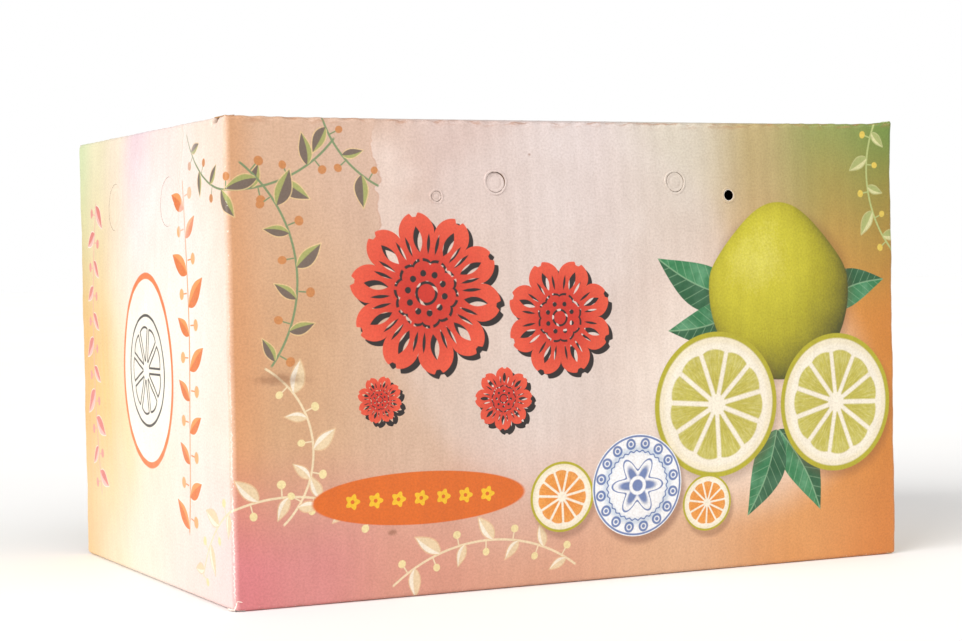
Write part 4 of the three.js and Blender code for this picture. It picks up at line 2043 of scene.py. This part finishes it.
@dataclass
class LongFlap(Flap):
    """A flap of a long wall, mitred to the wall at its crease and reaching the middle seam."""

    mitre_start: float = 1.0 * MM
    press_depth: float = 1.25 * MM
    press_ends: Pair = (0.6 * MM, 2.4 * MM)
    press_sides: Pair = (1.5 * MM, 3.4 * MM)
    press_rows: float = 4 * MM
    tongue_reach: float = 4.2 * MM
    tongue_start: float = 5 * MM
    tongue_far: float = 20 * MM
    tongue_round: float = 3 * MM

    @property
    def mitre(self) -> float:
        """The length of the mitre's slope."""
        return math.sqrt(2) * (self.blank.board - self.mitre_start)

    def face_rows(self) -> Array:
        """Goes round the outer half of the crease, then along the flat, finer where wire presses in.

        Returns:
            The places.
        """
        radius = self.blank.crease_radius
        turn = radius * np.linspace(0, math.pi / 4, 7)
        far = self.extent.far - radius
        flat = np.concatenate([np.geomspace(0.8 * MM, 14 * MM, 8), np.linspace(18 * MM, far, 24)])
        if self.edge is Edge.BOTTOM:
            near_wire = np.linspace(-self.press_rows, self.press_rows, 15)
            flat = np.union1d(flat, self.wires()[0][1] - radius + near_wire)
        return np.concatenate([turn, turn[-1] + flat])

    def back_rows(self) -> Array:
        """Goes down the mitre, then along the flat."""
        flat = self.back_flat(self.extent.far - self.blank.board)
        return np.concatenate([np.linspace(0, self.mitre, 4), self.mitre + flat])

    def face_at(self, b: Array, depth: float) -> tuple[Array, Array]:
        """Follows the arc of the crease and then the flat.

        Args:
            b: Place from the crease.
            depth: Depth into the board.
        Returns:
            The d and z.
        """
        radius = self.blank.crease_radius
        turn = math.pi / 4 + np.minimum(b / radius, math.pi / 4)
        flat = np.maximum(b - radius * math.pi / 4, 0)
        inner = radius - depth
        return radius - inner * np.cos(turn) + flat, self.extent.top - radius + inner * np.sin(turn)

    def back_at(self, b: Array, depth: float) -> tuple[Array, Array]:
        """Follows the mitre and then the flat.

        Args:
            b: Place from the crease.
            depth: Depth into the board.
        Returns:
            The d and z.
        """
        slope = np.minimum(b, self.mitre) / math.sqrt(2)
        flat = np.maximum(b - self.mitre, 0)
        sloped = b < self.mitre
        d = self.mitre_start + slope + flat + np.where(sloped, depth / math.sqrt(2), 0)
        z = self.extent.top - self.mitre_start - slope + np.where(sloped, depth / math.sqrt(2), depth)
        return d, z

    def tongue(self, s: Array, d: Array) -> Array:
        """Lets the front lid's liner reach over the notches of the end walls.

        Args:
            s: Place along the crease.
            d: Place away from the crease.
        Returns:
            How far the liner reaches out.
        """
        if self.edge is Edge.BOTTOM or self.side is Side.BACK:
            return np.zeros_like(s)
        half = self.extent.half
        window = 1 - smoothstep(self.tongue_far - self.tongue_round, self.tongue_far, d)
        end = smoothstep(half - self.tongue_start, half, np.abs(s))
        return np.sign(s) * self.tongue_reach * end * window

    def wires(self) -> list[tuple[float, float, float]]:
        """Finds the staples through the flap.

        Returns:
            The s and d of each staple's middle, and half its length.
        """
        found = []
        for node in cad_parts:
            if node.startswith(f"{self.edge.label}_{self.side.label}_staple"):
                low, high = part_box(node)
                s, d, _ = self.local((low + high) / 2)
                found.append((s, d, (high.x - low.x) / 2))
        return found

    def pressed(self, s: Array, d: Array) -> Array:
        """Presses a trough for the crown of each staple.

        Args:
            s: Place along the crease.
            d: Place away from the crease.
        Returns:
            The depth of the troughs.
        """
        depth = np.zeros_like(s)
        for middle_s, middle_d, half in self.wires():
            beside, past = half + np.array(self.press_ends)
            along = 1 - smoothstep(beside, past, np.abs(s - middle_s))
            over = 1 - smoothstep(*self.press_sides, np.abs(d - middle_d))
            depth = np.maximum(depth, self.press_depth * along * over)
        return depth


@dataclass
class ShortFlap(Flap):
    """A flap of an end wall, lying one board below the long flaps."""

    @property
    def drop(self) -> float:
        """The height of the crease end below the printed liner."""
        return self.extent.top - self.extent.base - self.face_paper

    def face_rows(self) -> Array:
        """Goes along the flat."""
        length = self.extent.far - self.extent.near
        return np.concatenate([[0, 0.5 * MM, 1.5 * MM], np.linspace(4 * MM, length, 26)])

    def back_rows(self) -> Array:
        """Goes down the crease end, then along the flat."""
        flat = self.back_flat(self.extent.far - self.extent.near)
        return np.concatenate([np.linspace(0, self.drop, 3), self.drop + flat])

    def face_at(self, b: Array, depth: float) -> tuple[Array, Array]:
        """Follows the flat."""
        return self.extent.near + b, np.full_like(b, self.extent.top - depth)

    def back_at(self, b: Array, depth: float) -> tuple[Array, Array]:
        """Follows the crease end down and then the flat.

        Args:
            b: Place from the top of the crease end.
            depth: Depth into the board.
        Returns:
            The d and z.
        """
        down = b < self.drop
        d = self.extent.near + np.maximum(b - self.drop, 0) + np.where(down, depth, 0)
        z = self.extent.top - self.face_paper - np.minimum(b, self.drop) + np.where(down, 0, depth)
        return d, z

    def creased(self, s: Array, d: Array, z: Array) -> Array:
        """Brings points to the flap's edge; the crease's waves stay in the end wall."""
        return self.set_down(s, d, z)


@dataclass
class CreaseStrip(Assembly):
    """The printed liner between an end wall's top fold and its short flap."""

    paper: float = 0.4 * MM
    proud: float = 0.12 * MM
    wall_lap: float = 1.3 * MM
    flap_lap: float = 3.4 * MM
    bend: float = 0.5 * MM
    inset: float = 0.1 * MM
    lift: float = 0.05 * MM

    @property
    def flap(self) -> ShortFlap:
        """The flap that the strip goes over to."""
        return ShortFlap(self.side, self.blank, self.handling, self.wardrobe, Edge.TOP)

    @property
    def drop(self) -> float:
        """The straight part of the strip before its bend."""
        return self.wall_lap - self.bend

    def points(self, s: Array, b: Array, depth: float) -> Array:
        """Shapes the strip: down the wall's fold, round, and onto the flap.

        Args:
            s: Place along the crease.
            b: Place along the strip.
            depth: Depth into the paper, below 0 on its proud face.
        Returns:
            The strip's points.
        """
        extent = self.flap.extent
        turn = np.clip((b - self.drop) / self.bend, 0, math.pi / 2)
        out = np.maximum(b - self.drop - self.bend * math.pi / 2, 0)
        inner = self.bend + depth
        d = extent.near - self.inset + self.bend - inner * np.cos(turn) + out
        z = extent.top + self.wall_lap - np.minimum(b, self.drop) - inner * np.sin(turn) + self.lift
        return self.place(s, d, z)

    def build(self) -> None:
        """Models the strip."""
        flap = self.flap
        half, near, _, top, _ = flap.extent
        flat = self.drop + self.bend * math.pi / 2
        rows = np.concatenate([np.linspace(0, self.drop, 4),
                               self.drop + self.bend * np.linspace(0.25, math.pi / 2, 5),
                               np.linspace(flat + 0.5 * MM, flat + self.flap_lap, 5)])
        strip = Sheet(f"top_{self.side.label}_crease", self.blank.fluted_span(half), rows).build(
            self.points, (-self.proud, self.paper - self.proud), flap.layout, rim=0)
        dress(strip, self.wardrobe.plain_print, self.wardrobe.liner)
        reach, height = np.array([near, near + self.flap_lap]), np.array([top + self.wall_lap, top])
        start, end = self.place(np.zeros(2), reach, height)
        flap.body
        tuple(start)
        tuple(end)
        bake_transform(strip)
        log.info("%s bends between %s and %s", strip.name, SHELL, flap.body)


# Lap joint and wire


@dataclass
class LapTab(Assembly):
    """The glue-side tab of the blank, stitched inside the back wall."""

    taper: float = 8 * MM
    inset: float = 0.15 * MM

    @property
    def corners(self) -> tuple[Triple, Triple]:
        """The s, d and z of the outer low corner at the fold and the inner high one at the free edge."""
        low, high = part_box("lap_tab")
        return self.local((high.x, high.y, low.z)), self.local((low.x, low.y, high.z))

    def points(self, s: Array, b: Array, d: float) -> Array:
        """Shapes the tab at one depth, following the back wall's bulge.

        Args:
            s: Place along the wall.
            b: Place up the tab, from -1 to 1.
            d: The depth.
        Returns:
            The tab's points.
        """
        (s0, _, z0), (s1, _, z1) = self.corners
        half = (z1 - z0) / 2 - self.taper * (s1 - s) / (s1 - s0)
        z = (z0 + z1) / 2 + b * half
        return self.place(s, d + self.inward(s, z), z)

    def layout(self, s: Array, b: Array) -> Array:
        """Lays the tab out on the flat blank, beyond the end wall's edge."""
        u = self.blank.print_left(Side.LEFT) - s
        return np.stack([u, (b + 1) * self.blank.height / 2], axis=-1)

    def build(self) -> None:
        """Models the tab as board with tapered ends."""
        (s0, d0, _), (s1, d1, _) = self.corners
        sheet = Sheet("lap_tab_board", np.linspace(s0, s1, 41), np.linspace(-1, 1, 61))
        tab = sheet.build(self.points, (d0 + self.inset, d1), self.layout, rim=2)
        dress(tab, self.wardrobe.end_print, self.wardrobe.liner, self.wardrobe.fluting)
        settle(tab, SHELL, ["lap_tab"])


@dataclass
class Fastener(Assembly):
    """A flat-wire stitch or staple: a crown, two legs and tips clinched over inside."""

    node: str
    wire: float = 0.8 * MM
    bend: float = 1.1 * MM
    tip: float = 5.5 * MM
    tip_rise: float = 0.35 * MM
    tip_taper: Triple = (1.0, 0.45, 0.6)
    edge_round: float = 0.16 * MM

    def sweep(self, width: float, crown: float, leg: float) -> Piece:
        """Models the wire in its own plane: the crown along x, the legs towards +y, the width along z.

        Args:
            width: The wire's width.
            crown: The crown's length, outside to outside.
            leg: The legs' length, outside to outside.
        Returns:
            The wire, with the middle of its crown's outer face at the origin.
        """
        piece = add(bpy.ops.mesh.primitive_plane_add, f"{self.node}_wire", (width, self.wire, 1.0), size=1,
                    location=(0, self.wire / 2, 0), rotation=(0, math.pi / 2, 0))
        straight = crown / 2 - self.bend
        moves = ((straight, 0, 0), (0, leg - 2 * self.bend, 0))
        select_faces(piece, lambda face: True)
        for move, height in zip(moves, (self.bend, leg - self.bend)):
            bpy.ops.mesh.extrude_region_move(TRANSFORM_OT_translate={"value": move})
            bpy.ops.mesh.spin(steps=5, angle=-math.pi / 2, center=(straight, height, 0), axis=(0, 0, 1))
        bpy.ops.mesh.extrude_region_move(TRANSFORM_OT_translate={"value": (-self.tip, self.tip_rise, 0)})
        bpy.ops.transform.resize(value=self.tip_taper)
        bpy.ops.object.mode_set(mode="OBJECT")
        apply_modifier(piece, "MIRROR", use_axis=(True, False, False), use_bisect_axis=(False, False, False),
                       merge_threshold=0.02 * MM)
        bpy.ops.object.mode_set(mode="EDIT")
        bpy.ops.mesh.select_all(action="SELECT")
        bpy.ops.mesh.remove_doubles(threshold=0.01 * MM)
        bpy.ops.object.mode_set(mode="OBJECT")
        turn_outward(piece)
        apply_modifier(piece, "BEVEL", width=self.edge_round, segments=2, limit_method="ANGLE",
                       angle_limit=0.9)
        return piece

    def build(self) -> None:
        """Models the wire and sets it in the board."""
        raise NotImplementedError

    def finish(self, piece: Piece, points: Array) -> None:
        """Puts the wire in its place, dresses it and settles it.

        Args:
            piece: The wire.
            points: Its points in the carton's frame.
        """
        write_points(piece, points)
        turn_outward(piece)
        dress(piece, self.wardrobe.wire)
        smooth_faces(piece, 50)
        settle(piece, SHELL, [self.node])


@dataclass
class Stitch(Fastener):
    """A stitch through the lap joint, its crown level on the back wall."""

    wire: float = 0.7 * MM
    tip: float = 4 * MM
    proud: float = 0.35 * MM

    def build(self) -> None:
        """Models the stitch and lays it on the bulged wall."""
        low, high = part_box(self.node)
        s, _, z = self.local((low + high) / 2)
        first = self.local(high)[1]
        inward = self.inward(np.array([s]), np.array([z]))[0]
        piece = self.sweep(high.z - low.z, high.x - low.x, high.y - low.y + self.proud)
        along, into, up = read_points(piece).T
        d = into + first - self.proud + inward
        self.finish(piece, self.place(s + along, d, z + up))


@dataclass
class Staple(Fastener):
    """A wide staple through two base flaps, its crown pressed into the outer one."""

    def build(self) -> None:
        """Models the staple and sets it upright in the base."""
        low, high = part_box(self.node)
        middle = (low + high) / 2
        piece = self.sweep(high.y - low.y, high.x - low.x, high.z - low.z)
        along, up, across = read_points(piece).T
        placed = np.stack([middle.x + along, middle.y + across, low.z + up], axis=-1)
        self.finish(piece, placed)


@dataclass(frozen=True)
class Tear:
    """A raised edge of torn paper along a wall, from one place to another; sizes in millimetres."""

    side: Side
    start: Pair
    end: Pair
    width: float
    lift: float


@dataclass
class TornCorner(Assembly):
    """The torn edges of white paper at the pinched front left corner of the base."""

    paper: float = 0.25 * MM
    tears: tuple[Tear, ...] = (
        Tear(Side.FRONT, (-179.5, 0.6), (-178.2, 4.9), 0.5, 0.20),
        Tear(Side.FRONT, (-178.3, 4.9), (-175.9, 4.3), 0.42, 0.16),
        Tear(Side.LEFT, (117.6, 0.9), (110.5, 0.6), 0.8, 0.28),
    )

    def build(self) -> None:
        """Models each torn edge as a ragged strip and joins them."""
        torn = join([self.strip(tear) for tear in self.tears], "torn_paper_edges")
        dress(torn, self.wardrobe.torn, self.wardrobe.torn)
        settle(torn, SHELL)

    def points(self, tear: Tear, a: Array, b: Array, depth: float) -> Array:
        """Shapes a torn edge, lying on the rounded wall and lifting along its middle.

        Args:
            tear: The torn edge.
            a: Place across it, from -1 to 1.
            b: Place along it, from 0 to 1.
            depth: Depth into the paper.
        Returns:
            The edge's points.
        """
        start, end = np.array(tear.start) * MM, np.array(tear.end) * MM
        ahead = (end - start) / np.linalg.norm(end - start)
        ragged = 1 + 0.3 * np.sin(b * 19 + tear.width * 40) + 0.2 * np.sin(b * 43)
        half = tear.width * MM / 2 * ragged * np.sin(math.pi * np.clip(b, 0.04, 0.96)) ** 0.5
        s = start[0] + (end - start)[0] * b - ahead[1] * a * half
        z = start[1] + (end - start)[1] * b + ahead[0] * a * half
        radius = self.blank.corner_radius
        over = np.clip(np.abs(s) - self.blank.half_width(tear.side) + radius, 0, radius)
        d = radius - np.sqrt(radius ** 2 - over ** 2) + self.handling.inward(tear.side, s, z)
        d = d - tear.lift * MM * (1 - a ** 2) + depth
        return self.handling.knock(self.blank.place(tear.side, s, d, z))

    def strip(self, tear: Tear) -> Piece:
        """Models one torn edge."""
        sheet = Sheet("torn_edge", np.linspace(-1, 1, 9), np.linspace(0, 1, 17))
        return sheet.build(partial(self.points, tear), (0.0, self.paper),
                           lambda a, b: np.stack([a, b], axis=-1) * tear.width * MM)


# Studio


@dataclass(frozen=True)
class SoftLight:
    """A wide, distant light that falls evenly over the floor; its spread is in degrees."""

    name: str
    stand: Triple
    power: float
    spread: float
    tint: Triple = (1.0, 1.0, 1.0)

    def build(self) -> None:
        """Adds the light."""
        data = bpy.data.lights.new(self.name, "SUN")
        data.energy = self.power
        data.angle = math.radians(self.spread)
        data.color = self.tint
        light = bpy.data.objects.new(self.name, data)
        bpy.context.scene.collection.objects.link(light)
        light.location = self.stand
        light.rotation_mode = "QUATERNION"
        light.rotation_quaternion = (-Vector(self.stand)).to_track_quat("-Z", "Y")


@dataclass(frozen=True)
class Studio:
    """A pale floor, soft light and the camera of the photograph's view."""

    stand: Triple = (-0.5016, -1.0466, 0.1541)
    aim: Triple = (0.0183, 0.0344, 0.1220)
    lens_mm: float = 82.46
    sensor_mm: float = 36.0
    roll: float = math.radians(-1.037)
    floor_radius: float = 14.0
    floor_drop: float = 0.05 * MM
    ambient: float = 0.5
    lights: tuple[SoftLight, ...] = (
        SoftLight("left_softbox", (-2.0, -0.7, 1.1), 3.0, 50.0, (1.0, 0.985, 0.965)),
        SoftLight("front_softbox", (0.7, -2.0, 1.7), 1.1, 60.0, (1.0, 0.99, 0.98)),
    )

    def build(self) -> None:
        """Adds everything round the carton."""
        self.build_floor()
        self.build_world()
        for light in self.lights:
            light.build()
        self.build_camera()
        bpy.context.scene.view_settings.view_transform = "Standard"

    def build_floor(self) -> None:
        """Adds the round floor."""
        bpy.ops.object.select_all(action="DESELECT")
        bpy.ops.mesh.primitive_circle_add(vertices=96, radius=self.floor_radius, fill_type="NGON",
                                          location=(0, 0, -self.floor_drop))
        floor = bpy.context.object
        floor.name = "studio_floor"
        material = bpy.data.materials.new("pale_floor")
        canvas = Canvas.of(material)
        cloud = canvas.noise(canvas.solid(), 3.0, 2.0)
        colour = canvas.mix(ink("F4F3F2"), ink("FAFAF9"), cloud)
        shader = canvas.wire("ShaderNodeBsdfPrincipled", {"Base Color": colour, "Roughness": 0.75})
        canvas.node("ShaderNodeOutputMaterial", {"Surface": shader})
        dress(floor, material)

    def build_world(self) -> None:
        """Lights the room evenly, with a white backdrop."""
        world = bpy.data.worlds.new("white_room")
        bpy.context.scene.world = world
        canvas = Canvas.of(world)
        seen = canvas.wire("ShaderNodeLightPath", {}, "Is Camera Ray")
        strength = canvas.math("ADD", seen * (1.0 - self.ambient), self.ambient)
        shader = canvas.wire("ShaderNodeBackground", {"Color": (1.0, 1.0, 1.0, 1.0), "Strength": strength})
        canvas.node("ShaderNodeOutputWorld", {"Surface": shader})

    def build_camera(self) -> None:
        """Adds the camera."""
        data = bpy.data.cameras.new("photo_camera")
        data.lens = self.lens_mm
        data.sensor_width = self.sensor_mm
        camera = bpy.data.objects.new("photo_camera", data)
        bpy.context.scene.collection.objects.link(camera)
        camera.location = self.stand
        camera.rotation_mode = "QUATERNION"
        look = (Vector(self.aim) - Vector(self.stand)).to_track_quat("-Z", "Y")
        camera.rotation_quaternion = look @ Quaternion((0.0, 0.0, 1.0), self.roll)
        bpy.context.scene.camera = camera


def main() -> None:
    """Builds the studio, then the carton piece by piece."""
    logging.basicConfig(level=logging.INFO, format="%(name)s: %(message)s")
    blank = Blank.from_frame()
    shared = (blank, Handling(blank), Wardrobe.build())
    Studio().build()
    for side in Side:
        Wall(side, *shared).build()
    for edge in Edge:
        for side in Side:
            kind = LongFlap if side.is_long else ShortFlap
            kind(side, *shared, edge).build()
    for side in (Side.LEFT, Side.RIGHT):
        CreaseStrip(side, *shared).build()
    LapTab(Side.BACK, *shared).build()
    for node in sorted(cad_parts):
        if "stitch" in node:
            Stitch(Side.BACK, *shared, node).build()
        elif "staple" in node:
            Staple(Side.FRONT, *shared, node).build()
    TornCorner(Side.FRONT, *shared).build()


if __name__ == "__main__":
    main()
